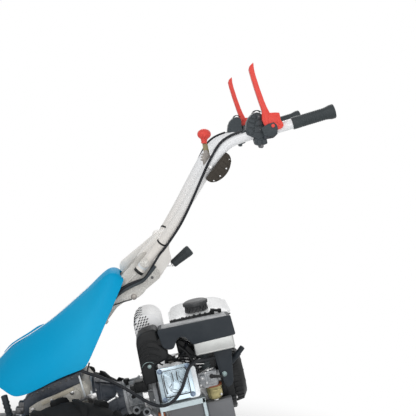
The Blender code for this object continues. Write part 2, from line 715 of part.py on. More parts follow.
def make_shroud():
    """The black cooling shroud that guides air round the front of the cylinder."""
    fins = CYLINDER_X - FIN_HALF - GAP
    back = BOX_FRONT - GAP * 2
    top, low = 0.2175, 0.064
    outline = [(-0.145, low), (-0.140, 0.196), (-0.126, 0.210), (-0.096, top), (back, top), (back, 0.168),
               (back + 0.016, 0.150), (back + 0.016, 0.120), (fins, 0.116), (fins, low)]
    return sheet(outline, BOX_LEFT + 0.032, CASE_LEFT - GAP, bevel=0.006)


def make_carburettor():
    """A small cast body on the cylinder head's rear face."""
    head = CYLINDER_X + FIN_HALF + GAP
    middle = (CARB_BOTTOM + CARB_TOP) / 2
    body = box((head + 0.010, CARB_X + 0.024), (CARB_Y - CARB_HALF_W, CARB_Y + CARB_HALF_W),
               (CARB_BOTTOM, CARB_TOP), 0.004)
    wide = CARB_HALF_W + 0.005
    flange = box((head, head + 0.012), (CARB_Y - wide, CARB_Y + wide), (CARB_BOTTOM - 0.010, CARB_TOP), 0.003)
    throat = rod((head + 0.010, CARB_Y, middle), (CARB_X + 0.032, CARB_Y, middle), 0.016, sides=16)
    return join(flange, body, throat)


def make_bowl():
    low, high = CARB_BOTTOM - 0.050, CARB_BOTTOM - GAP
    profile = [(0.0, high), (BOWL_R, high), (BOWL_R, high - 0.010), (BOWL_R - 0.003, high - 0.012),
               (BOWL_R - 0.003, low + 0.014), (BOWL_R - 0.009, low + 0.006), (0.006, low + 0.006),
               (0.006, low), (0.0, low)]
    return turned(profile, (CARB_X, CARB_Y, 0), (0, 0, 1), 20)


def make_shield():
    """The dark control plate between air cleaner and fan housing, on two lugs."""
    outline = [(0.070, 0.1155), (0.118, 0.1155), (0.112, 0.012), (0.104, 0.002), (0.086, 0.002),
               (0.080, 0.050), (0.070, 0.062)]
    plate = sheet(outline, -0.136, -0.130, bevel=0.0015)
    return join(plate, rod((0.088, -0.131, 0.008), (0.088, -FAN_R - GAP, 0.008), 0.008, sides=12))


def make_starter_grip():
    """The T handle parked on the upper left of the starter cover."""
    half = Vector((0.019, 0, 0.017))
    middle = starter_point(0)
    bar = rod(middle - half, middle + half, 0.0075, sides=12, bevel=0.002)
    return join(bar, rod(middle, starter_point(GAP - STARTER_STEM), 0.0045, sides=10))


def make_choke_lever():
    """A small arm on the carburettor's outer side."""
    y = CARB_Y - CARB_HALF_W - GAP
    outline = arc((CHOKE_X, CHOKE_Z), 0.006, 60, 300, 8)
    outline += [(CHOKE_X + 0.030, CHOKE_Z - 0.014), (CHOKE_X + 0.032, CHOKE_Z - 0.006)]
    return sheet(outline, y - 0.003, y)


def make_engine_base():
    """The pale mounting plate under the block, turned up along its left side."""
    low = CASE_BOTTOM - GAP
    plate = box((CASE_FRONT, CASE_BACK + 0.030), (CASE_LEFT - 0.030, CASE_RIGHT), (low - 0.010, low), 0.002)
    side = box((-0.092, 0.004), (CASE_LEFT - 0.030, CASE_LEFT - 0.024), (low - 0.006, -0.018), 0.002)
    shelf = box((-0.092, 0.004), (CASE_LEFT - 0.027, CASE_LEFT - GAP), (-0.024, -0.018), 0.002)
    block = box((0.022, 0.090), (-FAN_R - 0.030, -FAN_R - 0.003), (low - 0.006, CARB_BOTTOM - 0.054), 0.004)
    return join(plate, side, shelf, block)


# Head, column and hood

def from_pivot(points):
    """Points of a side view, from their places about the handlebar's pivot."""
    return [(PIVOT_X + x, PIVOT_Z + z) for x, z in points]


def head_base():
    """The bracket's underside, which meets the column's top."""
    return from_pivot([(-0.116, -0.104), (-0.094, -0.146), (-0.058, -0.118)])


def make_head_bracket():
    """Two cast ears round the handlebar's yoke, joined above the column."""
    outline = head_base()[1:] + from_pivot([(-0.020, -0.107), (0.005, -0.082)])
    outline += from_pivot(arc((0.026, -0.041), 0.019, -35, 60, 5) + arc((0, 0), 0.025, 25, 165, 7))
    outline += from_pivot([(-0.082, -0.058)]) + head_base()[:1]
    bracket = sheet(outline, -EAR_OUT, EAR_OUT, bevel=0.003)
    slot = box((PIVOT_X - 0.066, PIVOT_X + 0.102), (-EAR_IN, EAR_IN), (PIVOT_Z - 0.210, PIVOT_Z + 0.090))
    bolt = rod((PIVOT_X, -0.1, PIVOT_Z), (PIVOT_X, 0.1, PIVOT_Z), PIVOT_R + RUN, sides=16)
    return cut(bracket, slot, bolt)


def make_column():
    """The steering column from the gearbox cover up into the head bracket."""
    low = Vector((-0.030, 0, LID_BACK[1] - 0.007))
    top = Vector((PIVOT_X - 0.068, 0, PIVOT_Z - 0.104))
    column = rod(low, top, 0.027, sides=20)
    lid = Vector(LID_BACK) - Vector(LID_FRONT)
    up = Vector((-lid.y, lid.x)).normalized() * (COVER_T + 2 * GAP)
    ends = [Vector(LID_FRONT) - lid * 0.3 + up, Vector(LID_BACK) + lid * 0.6 + up]
    below = [(ends[1].x, LID_FRONT[1] - 0.08), (ends[0].x, LID_FRONT[1] - 0.08)]
    cover = sheet([tuple(p) for p in ends] + below, -0.1, 0.1)
    bracket = sheet(head_base() + from_pivot([(0.10, 0.09), (-0.15, 0.09)]), -0.1, 0.1)
    place(bracket, Matrix.Translation((-0.0004, 0, -0.0005)))
    return cut(column, cover, bracket)


def hood_sections():
    """Ridge and lower edge points of the hood, front to rear, with half widths."""
    ridge = [(-0.262, 0.492), (-0.229, 0.517), (-0.190, 0.556), (-0.142, 0.584), (-0.081, 0.624),
             (-0.028, 0.668), (0.034, 0.722), (0.076, 0.763), (0.098, 0.777), (0.118, 0.772), (0.137, 0.756)]
    edge = [(-0.266, 0.484), (-0.240, 0.468), (-0.211, 0.455), (-0.186, 0.441), (-0.164, 0.434),
            (-0.119, 0.451), (-0.087, 0.468), (-0.036, 0.4925), (-0.001, 0.5047), (0.022, 0.513),
            (0.034, 0.5245)]
    ridge_half = [0.006, 0.014, 0.022, 0.028, 0.032, 0.034, 0.038, 0.046, 0.052, 0.057, 0.060]
    edge_half = [0.020, 0.070, 0.095, 0.110, 0.116, 0.118, 0.118, 0.118, 0.117, 0.116, 0.115]
    return list(zip(ridge, edge, ridge_half, edge_half))


def make_hood():
    """A tapered plastic cover, lofted between sections, with a rolled rear edge."""
    bm = bmesh.new()
    rows = []
    for (rx, rz), (ex, ez), rh, eh in hood_sections():
        height = rz - ez
        half = []
        for k in range(6):
            t = k / 5
            bulge = math.sin(math.pi * t) * 0.05 * height
            out = eh + (rh - eh) * t ** 1.25 + bulge
            half.append(Vector((ex + (rx - ex) * t, -out, ez + height * t)))
        crown = Vector((rx, 0, rz + rh * 0.22))
        half.append(Vector((rx, -rh * 0.55, rz + rh * 0.16)))
        section = half + [crown] + [Vector((p.x, -p.y, p.z)) for p in reversed(half)]
        rows.append([bm.verts.new(p) for p in section])
    for first, second in zip(rows, rows[1:]):
        for a, b, c, d in zip(first, first[1:], second[1:], second):
            bm.faces.new((a, b, c, d))
    hood = from_bmesh(bm)
    wall = hood.modifiers.new("wall", "SOLIDIFY")
    wall.thickness = 0.0032
    wall.offset = -1.0
    bake(hood)
    return cut(hood, box((0.106, 0.3), (-EAR_OUT - GAP, EAR_OUT + GAP), (0.716, 0.9)))


# Handlebar

def tube_route(step=0.020):
    """Centreline of the left tube, from beside the pivot to its rear end."""
    line = [(-0.018, -TUBE_START_Y, -0.028), (0.018, -0.068, 0.019), (0.052, -0.084, 0.064),
            (0.102, -0.122, 0.146), (0.153, -0.168, 0.236), (0.186, -0.196, 0.292), (0.222, -0.218, 0.338),
            (0.268, -0.236, 0.360), (0.332, -0.250, 0.3763), (0.394, -0.256, 0.395), (0.448, -0.259, 0.4113),
            (0.502, -0.262, 0.4276)]
    return smooth_route([(PIVOT_X + x, y, PIVOT_Z + z) for x, y, z in line], step)


def route_at(behind):
    """The tube's centre and direction at a distance behind the pivot."""
    x = PIVOT_X + behind
    route = tube_route()
    for a, b in zip(route, route[1:]):
        if a.x <= x <= b.x:
            t = (x - a.x) / (b.x - a.x)
            return a.lerp(b, t), (b - a).normalized()
    return route[-1], (route[-1] - route[-2]).normalized()


def make_handle_tube():
    route = tube_route(0.038)
    outer = tube(route, TUBE_R, 3)
    ends = [route[0] - (route[1] - route[0])] + route + [route[-1] + (route[-1] - route[-2])]
    inner = tube(ends, TUBE_R - TUBE_WALL, 2)
    bolt = rod((PIVOT_X, -0.15, PIVOT_Z), (PIVOT_X, 0, PIVOT_Z), PIVOT_R + RUN, sides=16)
    return cut(outer, inner, bolt)


def tube_clearance(first, last):
    """A solid along the tube, between two distances behind the pivot, that clears its corners."""
    points = [p for p in tube_route(0.038) if first - 0.06 < p.x - PIVOT_X < last + 0.06]
    return tube(points, (TUBE_R + GAP) / math.cos(math.pi / TUBE_SIDES), 3)


def make_grip():
    """A rubber sleeve over the tube's end, closed behind and flared at the end."""
    end, _ = route_at(1.0)
    start, _ = route_at(0.394)
    line = end - start
    length = line.length + 0.006
    bore = TUBE_R + 0.0006
    profile = [(0.0, length), (GRIP_FLARE_R - 0.004, length), (GRIP_FLARE_R, length - 0.003),
               (GRIP_FLARE_R, length - 0.014), (GRIP_R, length - 0.026), (GRIP_R, 0.0), (bore, 0.0),
               (bore, length - 0.005), (0.0, length - 0.005)]
    return turned(profile, start, line, 20)


def make_control_housing():
    """The switch and cable housing clamped on the tube."""
    centre, along = route_at(0.292)
    body = box((-0.025, 0.020), (-0.024, 0.020), (-0.006, 0.052), 0.006)
    clamp = box((-0.012, 0.018), (-0.021, 0.019), (-0.026, 0.000), 0.003)
    join(body, clamp)
    place(body, Matrix.Translation(centre) @ Matrix.Rotation(-math.atan2(along.z, along.x), 4, "Y"))
    return cut(body, tube_clearance(0.262, 0.332))


def from_pin(points):
    """Points of a side view, from their places about the hand lever's pin."""
    return [(LEVER_PIN[0] + x, LEVER_PIN[2] + z) for x, z in points]


def make_lever_bracket():
    """The clamp that carries the hand lever's pin, outside the tube."""
    pin = Vector(LEVER_PIN)
    outline = from_pin([(-0.024, -0.037), (0.003, -0.032), (0.014, -0.021)] + arc((0, 0), 0.012, -20, 130, 6)
                       + [(-0.021, 0.009)])
    bracket = sheet(outline, pin.y + 0.008, pin.y + 0.0575, bevel=0.002)
    join(bracket, rod((pin.x, pin.y + 0.0135, pin.z), (pin.x, pin.y - 0.012, pin.z), LEVER_PIN_R, sides=12))
    return cut(bracket, tube_clearance(0.302, 0.362))


def make_lever():
    """The red hand lever: a fan-shaped root on the pin and a long curved blade."""
    pin = Vector(LEVER_PIN)
    blade = [(-0.0240, 0.0205), (-0.0320, 0.0450), (-0.0435, 0.0770), (-0.0555, 0.1130), (-0.0650, 0.1460),
             (-0.0625, 0.1570), (-0.0540, 0.1660), (-0.0520, 0.1470), (-0.0430, 0.1160), (-0.0300, 0.0790),
             (-0.0180, 0.0490), (-0.0100, 0.0340)]
    root = [(-0.0220, -0.0040), (-0.0280, 0.0260), (-0.0230, 0.0430), (-0.0100, 0.0340), (0.0150, 0.0330),
            (0.0210, 0.0160), (0.0310, 0.0070), (0.0270, -0.0030), (0.0170, -0.0090), (0.0, -0.0140),
            (-0.0150, -0.0130)]
    base = sheet(from_pin(root), pin.y - 0.0065, pin.y + 0.0075, bevel=0.0015)
    arm = sheet(from_pin(blade), pin.y - 0.006, pin.y + 0.016, bevel=0.002)
    join(base, arm)
    bore = rod((pin.x, pin.y - 0.05, pin.z), (pin.x, pin.y + 0.05, pin.z), LEVER_PIN_R + RUN, sides=12)
    return cut(base, bore)


def make_yoke():
    """The white casting between the ears that carries both tubes."""
    outline = from_pivot(arc((0, 0), 0.024, 150, 290, 6)
                         + [(0.0422, -0.0540), (0.0791, 0.0027), (0.0660, 0.0237), (0.0800, 0.0680),
                            (0.0680, 0.0860), (0.0420, 0.0860)])
    yoke = sheet(outline, -EAR_IN + 0.0008, EAR_IN - 0.0008, bevel=0.003)
    cross, _ = route_at(0.052)
    join(yoke, rod((cross.x, cross.y, cross.z), (cross.x, -cross.y, cross.z), 0.015, sides=16))
    ends = arc((-0.064, -0.026), 0.030, 120, 300, 8) + arc((0.034, 0.056), 0.024, -40, 140, 8)
    arm = sheet(from_pivot(ends), ARM_IN_Y, ARM_OUT_Y, bevel=0.004)
    stay = cross.x - 0.014
    join(yoke, arm, rod((stay, 0.020, cross.z), (stay, 0.090, cross.z), 0.014, sides=16))
    cut(yoke, tube_clearance(-0.048, 0.132), mirrored(tube_clearance(-0.048, 0.132)))
    bolt = rod((PIVOT_X, -0.15, PIVOT_Z), (PIVOT_X, 0.15, PIVOT_Z), PIVOT_R + RUN, sides=16)
    lock_x, lock_z = LOCK_PIVOT
    slot = box((lock_x - 0.014, lock_x + 0.042), (-0.0045, 0.0045), (lock_z - 0.056, lock_z + 0.036))
    cut(yoke, bolt, slot)
    return join(yoke, rod((lock_x, -0.010, lock_z), (lock_x, 0.010, lock_z), 0.003, sides=10))


def lock_grip_line():
    """Where the lock lever's grip starts and ends."""
    start = Vector((LOCK_PIVOT[0] + 0.023, 0, LOCK_PIVOT[1] - 0.0015))
    return start, start + Vector((0.770, 0, 0.638)) * LOCK_GRIP_LENGTH


def make_lock_lever():
    """A flat steel lever on its pin in the yoke, with a tang for the grip."""
    start, end = lock_grip_line()
    along = (end - start).normalized()
    across = Vector((-along.z, 0, along.x)) * 0.0065
    outline = arc(LOCK_PIVOT, 0.009, 60, 270, 8)
    for point in (start - across, start + across):
        outline.append((point.x, point.z))
    lever = sheet(outline, -0.0038, 0.0038)
    join(lever, rod(start - along * 0.006, end - along * 0.015, 0.0034, sides=10))
    x, z = LOCK_PIVOT
    return cut(lever, rod((x, -0.02, z), (x, 0.02, z), 0.003 + RUN, sides=12))


def make_lock_grip():
    start, end = lock_grip_line()
    length = (end - start).length
    profile = [(0.0, length), (0.0120, length), (0.0140, length - 0.008), (0.0115, 0.004), (0.0105, GAP),
               (0.0034 + RUN, GAP), (0.0034 + RUN, length - 0.014), (0.0, length - 0.014)]
    return turned(profile, start, end - start, 18)


def make_pivot_bolt():
    """The bolt through ears, yoke and tube ends, with a head on each side."""
    left, right = -(TUBE_START_Y + 0.0068 + TUBE_R), ARM_OUT_Y + GAP
    bolt = rod((PIVOT_X, left - 0.006, PIVOT_Z), (PIVOT_X, right + 0.008, PIVOT_Z), PIVOT_R, sides=16)
    for start, end in ((left - 0.007, left), (right, right + 0.009)):
        join(bolt, rod((PIVOT_X, start, PIVOT_Z), (PIVOT_X, end, PIVOT_Z), PIVOT_R * 1.6, sides=6))
    return bolt


def gear_lever_y():
    """The gear lever's plane, just inside the left tube."""
    centre, _ = route_at(GEAR_PIVOT[0] - PIVOT_X)
    return centre.y + TUBE_R


def make_gear_gate():
    """The notched plate inside the left tube, with the lever's bolt through the tube."""
    x, z = GEAR_PIVOT
    y = gear_lever_y()
    outline = arc((x, z), 0.013, 200, 340, 6)
    edge = [(0.004, 0.030), (-0.006, 0.047), (-0.016, 0.044)]
    notches = [(-0.014, 0.036), (-0.021, 0.033), (-0.018, 0.026), (-0.025, 0.021), (-0.018, 0.016)]
    outline += [(x + a, z + b) for a, b in edge + notches]
    plate = sheet(outline, y + GATE_STAND, y + GATE_STAND + GATE_T)
    bolt = rod((x, y - 2 * TUBE_R - 0.008, z), (x, y + 0.020, z), 0.004, sides=12)
    head = rod((x, y - 2 * TUBE_R - 0.009, z), (x, y - 2 * TUBE_R - 0.005, z), 0.007, sides=6)
    return join(plate, bolt, head)


def make_gear_stem():
    """The flat stem that swings on the gate's bolt."""
    x, z = GEAR_PIVOT
    low = gear_lever_y() + GATE_STAND + GATE_T + GAP
    outline = arc((x, z), 0.009, 170, 370, 8) + [(x - 0.0080, z + GEAR_STEM), (x - 0.0170, z + GEAR_STEM)]
    stem = sheet(outline, low, low + STEM_T)
    return cut(stem, rod((x, low - 0.01, z), (x, low + 0.02, z), 0.004 + RUN, sides=12))


def make_gear_knob():
    """The red ball and its neck, split a little round the stem's end."""
    x, z = GEAR_PIVOT
    y = gear_lever_y() + GATE_STAND + GATE_T + GAP + STEM_T / 2
    base = z + GEAR_STEM - 0.006
    r = GEAR_KNOB_R
    centre = base + 0.010 + r * 0.8
    flat = 0.80
    profile = [(0.0, centre + r * flat)]
    profile += [(a, centre + b * flat) for a, b in arc((0, 0), r, 65, -35, 5)]
    profile += [(0.0090, base + 0.010), (0.0080, base), (0.0, base)]
    knob = turned(profile, (x - 0.0135, y, 0), (0, 0, 1), 20)
    fit = GAP + 0.0001
    half = STEM_T / 2 + fit
    return cut(knob, box((x - 0.030, x + 0.010), (y - half, y + half), (base - 0.01, z + GEAR_STEM + fit)))


def make_pod():
    """The D-shaped rubber knee pad under the left tube."""
    start, end = [Vector(p) for p in from_pivot([(0.1736, 0.2395), (0.2275, 0.3134)])]
    along = (end - start).normalized()
    out = Vector((along.y, -along.x))
    length = (end - start).length
    outline = [start - out * 0.010, start + out * 0.004]
    for k in range(1, 8):
        t = k / 8
        swell = 0.004 + KNEE_PAD_T * math.sin(math.pi * t) ** 0.55
        outline.append(start + along * length * t + out * swell)
    outline += [end + out * 0.004, end - out * 0.010]
    centre, _ = route_at(0.197)
    pod = sheet([tuple(p) for p in outline], centre.y - 0.019, centre.y + 0.019, bevel=0.004)
    return cut(pod, tube_clearance(0.142, 0.252))


def make_hand_cable(lowest):
    """The cable from the control housing down its tube, to a distance behind the pivot."""
    first, last = 0.024, 0.268
    points = []
    for point in reversed(tube_route(0.026)):
        behind = point.x - PIVOT_X
        if not lowest < behind < last:
            continue
        _, along = route_at(behind)
        share = (behind - first) / (last - first)
        turn = math.radians(-65 + 130 * min(1.0, max(0.0, (share - 0.25) / 0.55)))
        out = Vector((0, -1, 0))
        out = (out - along * out.dot(along)).normalized()
        up = Vector((-along.z, 0, along.x)).normalized()
        points.append(point + (out * math.cos(turn) + up * math.sin(turn)) * (TUBE_R + CABLE_R + 0.0007))
    return tube(smooth_route(points, 0.026), CABLE_R, 2)


def make_lower_cable():
    """The cable from the head down inside the hood and out to the engine's control."""
    side = -(EAR_OUT + CABLE_R + GAP + 0.0004)
    route = [(0.192, side, 0.757), (0.165, side, 0.748), (0.140, side, 0.736), (0.112, side, 0.716),
             (0.088, -0.054, 0.680), (0.066, -0.064, 0.610), (0.046, -0.082, 0.545), (0.036, -0.098, 0.508),
             (0.060, -0.112, 0.489), (0.100, -0.120, 0.470), (0.157, -0.140, 0.445), (0.215, -0.185, 0.421),
             (0.255, -0.218, 0.410), (0.285, -0.232, 0.436), (0.309, -0.238, 0.472), (0.318, -0.236, 0.505),
             (0.328, -0.222, 0.530), (0.347, -0.196, 0.545), (0.372, -0.158, 0.5455),
             (0.396, -0.1335, 0.5445)]
    return tube(smooth_route(route, 0.024), CABLE_R, 2)


# Cutter bar

def bar_half():
    return FINGER_PITCH * (FINGER_COUNT - 1) / 2 + BAR_OVERHANG


def knife_z():
    return BAR_BOTTOM + BAR_T + GAP


def make_finger_bar():
    """The back bar with its slotted fingers."""
    bar = box((BAR_FRONT, BAR_BACK), (-bar_half(), bar_half()), (BAR_BOTTOM, BAR_BOTTOM + BAR_T))
    w = FINGER_HALF_W
    for k in range(FINGER_COUNT):
        y = (k - (FINGER_COUNT - 1) / 2) * FINGER_PITCH
        outline = [(BAR_BACK - 0.020, y - w * 1.2), (BAR_BACK - 0.020, y + w * 1.2), (KNIFE_TIP, y + w),
                   (SLOT_FRONT, y + w * 0.8), (FINGER_TIP, y + w * 0.2), (FINGER_TIP, y - w * 0.2),
                   (SLOT_FRONT, y - w * 0.8), (KNIFE_TIP, y - w)]
        join(bar, sheet(outline, FINGER_BOTTOM, FINGER_TOP, plane="XY"))
    low = knife_z() - GAP
    wide = bar_half() + 0.05
    slot = box((SLOT_FRONT, BAR_BACK + 0.05), (-wide, wide), (low, low + KNIFE_T + SLOT_GAP + GAP))
    over = box((KNIFE_ROOT - 0.010, BAR_BACK + 0.05), (-wide, wide), (low, FINGER_TOP + 0.02))
    ahead, behind = FINGER_TIP - 0.02, KNIFE_TIP + 0.016
    nose = sheet([(ahead, FINGER_TOP + 0.02), (ahead, FINGER_BOTTOM + 0.020), (behind, FINGER_TOP + 0.002),
                  (behind, FINGER_TOP + 0.02)], -wide, wide)
    return cut(bar, slot, over, nose)


def make_knife():
    """The toothed knife with the two cheeks that its arm pushes."""
    count = FINGER_COUNT - 1
    half = FINGER_PITCH * count / 2
    outline = [(KNIFE_BACK, half), (KNIFE_BACK, -half)]
    for k in range(count):
        y = -half + k * FINGER_PITCH
        outline += [(KNIFE_ROOT, y + 0.002), (KNIFE_TIP, y + FINGER_PITCH * 0.42),
                    (KNIFE_TIP, y + FINGER_PITCH * 0.58), (KNIFE_ROOT, y + FINGER_PITCH - 0.002)]
    low = knife_z()
    knife = sheet(outline, low, low + KNIFE_T, plane="XY")
    centre = ARM_PIVOT_X - ARM_REACH
    for side in (-1, 1):
        y = sorted((side * 0.0125, side * 0.0205))
        join(knife, box((centre - 0.018, centre + 0.016), y, (low, low + KNIFE_T + 0.030)))
    base = box((centre - 0.018, centre + 0.016), (-0.0205, 0.0205), (low, low + KNIFE_T + 0.001))
    return join(knife, base)


def arm_z():
    return knife_z() + KNIFE_T + 0.004


def make_drive_arm():
    """The swinging arm: a boss on its pin and a ball end between the cheeks."""
    low = arm_z()
    end = ARM_PIVOT_X - ARM_REACH
    outline = (arc((ARM_PIVOT_X, 0), 0.022, -150, 150, 12)
               + [(ARM_PIVOT_X - 0.030, 0.014), (end + 0.024, 0.0065)]
               + arc((end, 0), 0.0105, 40, 320, 10)
               + [(end + 0.024, -0.0065), (ARM_PIVOT_X - 0.030, -0.014)])
    arm = sheet(outline, low, low + ARM_T, plane="XY")
    boss = rod((ARM_PIVOT_X, 0, low), (ARM_PIVOT_X, 0, low + ARM_T + 0.012), 0.022, sides=20)
    bore = rod((ARM_PIVOT_X, 0, low - 0.01), (ARM_PIVOT_X, 0, low + 0.06), PIVOT_R + RUN, sides=16)
    return cut(join(arm, boss), bore)


def make_drive_housing():
    """The cast housing from the gearbox's front flange down to the bar."""
    top = arm_z() + ARM_T + 0.012 + GAP
    front = ARM_PIVOT_X - 0.040
    back = GEARBOX_FRONT_X - 0.036
    outline = [(back, 0.362), (-0.300, 0.362), (front + 0.200, 0.275), (front, top + 0.050), (front, top),
               (front + 0.110, top), (front + 0.240, 0.160), (-0.300, 0.215), (back, 0.238)]
    housing = sheet(list(reversed(outline)), -0.046, 0.046, bevel=0.005)
    inside = [(back - 0.01, 0.350), (-0.304, 0.350), (front + 0.204, 0.262), (front + 0.080, top + 0.030),
              (front + 0.120, top + 0.016), (front + 0.248, 0.176), (-0.296, 0.228), (back - 0.01, 0.250)]
    room = sheet(list(reversed(inside)), -0.036, 0.036)
    mouth = box((-0.340, -0.305), (-0.030, 0.030), (0.180, 0.240))
    beam = box((front + 0.006, front + 0.062), (-0.084, 0.084), (top + 0.002, top + 0.030), 0.003)
    join(housing, beam)
    low = knife_z()
    for side in (-1, 1):
        y = sorted((side * 0.052, side * 0.084))
        join(housing, box((BAR_BACK - 0.018, front + 0.059), y, (low, top + 0.025)))
    cut(housing, room, mouth)
    pin = rod((ARM_PIVOT_X, 0, arm_z() + 0.001), (ARM_PIVOT_X, 0, top + 0.01), PIVOT_R, sides=16)
    return join(housing, pin)


def make_flange():
    """The round coupling between gearbox and drive housing."""
    back = GEARBOX_FRONT_X - GAP
    front = GEARBOX_FRONT_X - 0.036 + GAP
    plate = rod((back, 0, 0.300), (back - 0.014, 0, 0.300), 0.072, sides=28)
    return join(plate, rod((back - 0.010, 0, 0.300), (front, 0, 0.300), 0.052, sides=24))


def make_shoe():
    """A skid under the bar's end, turned up at the front."""
    top = BAR_BOTTOM - GAP
    side = [(-0.200, 0.040), (-0.188, 0.022), (-0.160, 0.005), (-0.135, 0.0), (0.030, 0.0), (0.048, 0.006),
            (0.048, top), (-0.072, top), (-0.155, 0.020), (-0.182, 0.034), (-0.194, 0.046)]
    outline = [(BAR_BACK + x, z) for x, z in side]
    outer = -bar_half() - 0.006
    return sheet(list(reversed(outline)), outer, outer + SHOE_W)


# Assembly

def centre_on_origin(root):
    """Slides the machine so that the middle of its box is at X = 0."""
    bpy.context.view_layer.update()
    meshes = [obj for obj in part.objects if obj.type == "MESH"]
    ends = [(obj.matrix_world @ v.co).x for obj in meshes for v in obj.data.vertices]
    root.location.x = -(min(ends) + max(ends)) / 2
    bpy.context.view_layer.update()
    print("axle is at X =", round(root.location.x, 5))


def assemble():
    root = frame_at("mower", None, (0, 0, 0))
    engine = frame_at("engine_frame", root, (CRANK_X, 0, CRANK_Z), ENGINE_TILT)
    crank = frame_at("crankshaft_axis", engine, (0, 0, 0))
    cap_axis = frame_at("fuel_cap_axis", engine, (CAP_X, CAP_Y, 0))
    choke_at = (CHOKE_X, CARB_Y - CARB_HALF_W, CHOKE_Z)
    choke_axis = frame_at("choke_axis", engine, choke_at)
    grip_line = frame_at("starter_grip_line", engine, STARTER_AT)
    handlebar = frame_at("handlebar_axis", root, (PIVOT_X, 0, PIVOT_Z))
    wheels = [frame_at(side + "_wheel_axis", root, (0, y, TYRE_R))
              for side, y in (("left", -TRACK_HALF), ("right", TRACK_HALF))]

    at_wheel = (0, -TRACK_HALF, TYRE_R)
    both_sides(make_tyre, "tyre", RUBBER, wheels, at_wheel)
    both_sides(make_rim, "rim", WHITE, wheels, at_wheel)
    both_sides(make_axle, "axle", STEEL, wheels, at_wheel)

    piece("gearbox_housing", make_gearbox(), CAST, root)
    piece("gearbox_cover", make_gearbox_cover(), DARK, root)
    piece("bell_housing", make_bell(), DARK, engine)
    piece("crankcase", make_crankcase(), CAST, engine)
    piece("valve_cover", make_valve_cover(), SILVER, engine)
    piece("crankshaft", make_crankshaft(), STEEL, crank)
    piece("flywheel_fan", make_flywheel(), CAST, crank)
    piece("fan_housing", make_fan_housing(), BLACK, engine)
    piece("recoil_cover", make_recoil(), BLACK, engine)
    piece("fuel_tank", make_tank(), TANK, engine)
    piece("tank_bracket", make_tank_bracket(), BLACK, engine)
    piece("fuel_cap", make_cap(), BLACK, cap_axis, (CAP_X, CAP_Y, 0))
    piece("air_cleaner_cover", make_air_cover(), GREY, engine)
    piece("air_cleaner_body", make_air_body(), SILVER, engine)
    piece("muffler", make_muffler(), STEEL, engine)
    piece("muffler_guard", make_muffler_guard(), WHITE, engine)
    piece("cylinder_shroud", make_shroud(), BLACK, engine)
    piece("carburettor", make_carburettor(), CAST, engine)
    piece("float_bowl", make_bowl(), BRASS, engine)
    piece("control_shield", make_shield(), GREY, engine)
    piece("starter_grip", make_starter_grip(), BLACK, grip_line, STARTER_AT)
    piece("choke_lever", make_choke_lever(), BLACK, choke_axis, choke_at)
    piece("engine_base", make_engine_base(), CAST, engine)

    piece("steering_column", make_column(), CREAM, root)
    piece("head_bracket", make_head_bracket(), CREAM, root)
    piece("pivot_bolt", make_pivot_bolt(), STEEL, root)
    piece("hood", make_hood(), BLUE, root)
    piece("lower_cable", make_lower_cable(), BLACK, root)

    at_pivot = (PIVOT_X, 0, PIVOT_Z)
    bars = (handlebar, handlebar)
    left_tube = make_handle_tube()
    right_tube = mirrored(left_tube)
    x, z = GEAR_PIVOT
    cut(left_tube, rod((x, -0.3, z), (x, -0.1, z), 0.004 + RUN, sides=12))
    piece("left_handle_tube", left_tube, WHITE, handlebar, at_pivot)
    piece("right_handle_tube", right_tube, WHITE, handlebar, at_pivot)
    both_sides(make_grip, "grip", RUBBER, bars, at_pivot)
    both_sides(make_control_housing, "control_housing", GREY, bars, at_pivot)
    both_sides(make_lever_bracket, "lever_bracket", GREY, bars, at_pivot)
    piece("left_hand_cable", make_hand_cable(0.024), BLACK, handlebar, at_pivot)
    piece("right_hand_cable", mirrored(make_hand_cable(0.070)), BLACK, handlebar, at_pivot)
    piece("handle_yoke", make_yoke(), WHITE, handlebar, at_pivot)
    piece("gear_lever_gate", make_gear_gate(), STEEL, handlebar, at_pivot)
    piece("knee_pad", make_pod(), RUBBER, handlebar, at_pivot)

    pin = Vector(LEVER_PIN)
    pins = [frame_at(side + "_lever_axis", handlebar, (pin.x - PIVOT_X, y, pin.z - PIVOT_Z))
            for side, y in (("left", pin.y), ("right", -pin.y))]
    both_sides(make_lever, "hand_lever", RED, pins, pin)
    gear_at = (GEAR_PIVOT[0], gear_lever_y(), GEAR_PIVOT[1])
    gear = frame_at("gear_lever_axis", handlebar, Vector(gear_at) - Vector(at_pivot))
    piece("gear_lever_stem", make_gear_stem(), BAR_STEEL, gear, gear_at)
    piece("gear_lever_knob", make_gear_knob(), RED, gear, gear_at)
    lock_at = (LOCK_PIVOT[0], 0, LOCK_PIVOT[1])
    lock = frame_at("height_lock_axis", handlebar, Vector(lock_at) - Vector(at_pivot))
    piece("height_lock_lever", make_lock_lever(), STEEL, lock, lock_at)
    piece("height_lock_grip", make_lock_grip(), RUBBER, lock, lock_at)

    piece("coupling_flange", make_flange(), CAST, root)
    piece("drive_housing", make_drive_housing(), DARK, root)
    piece("finger_bar", make_finger_bar(), BAR_STEEL, root)
    both_sides(make_shoe, "shoe", BAR_STEEL, (root, root), (0, 0, 0))
    knife = frame_at("knife_line", root, (ARM_PIVOT_X - ARM_REACH, 0, knife_z()))
    piece("knife", make_knife(), STEEL, knife, (ARM_PIVOT_X - ARM_REACH, 0, knife_z()))
    arm = frame_at("drive_arm_axis", root, (ARM_PIVOT_X, 0, arm_z()))
    piece("drive_arm", make_drive_arm(), CAST, arm, (ARM_PIVOT_X, 0, arm_z()))
    centre_on_origin(root)


assemble()
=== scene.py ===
# Sickle bar mower: the finished surfaces over the fixed model, in metres.
# Forwards is -X, the machine's left side is -Y, up is +Z.
import math

import bmesh
import bpy
from mathutils import Matrix, Vector


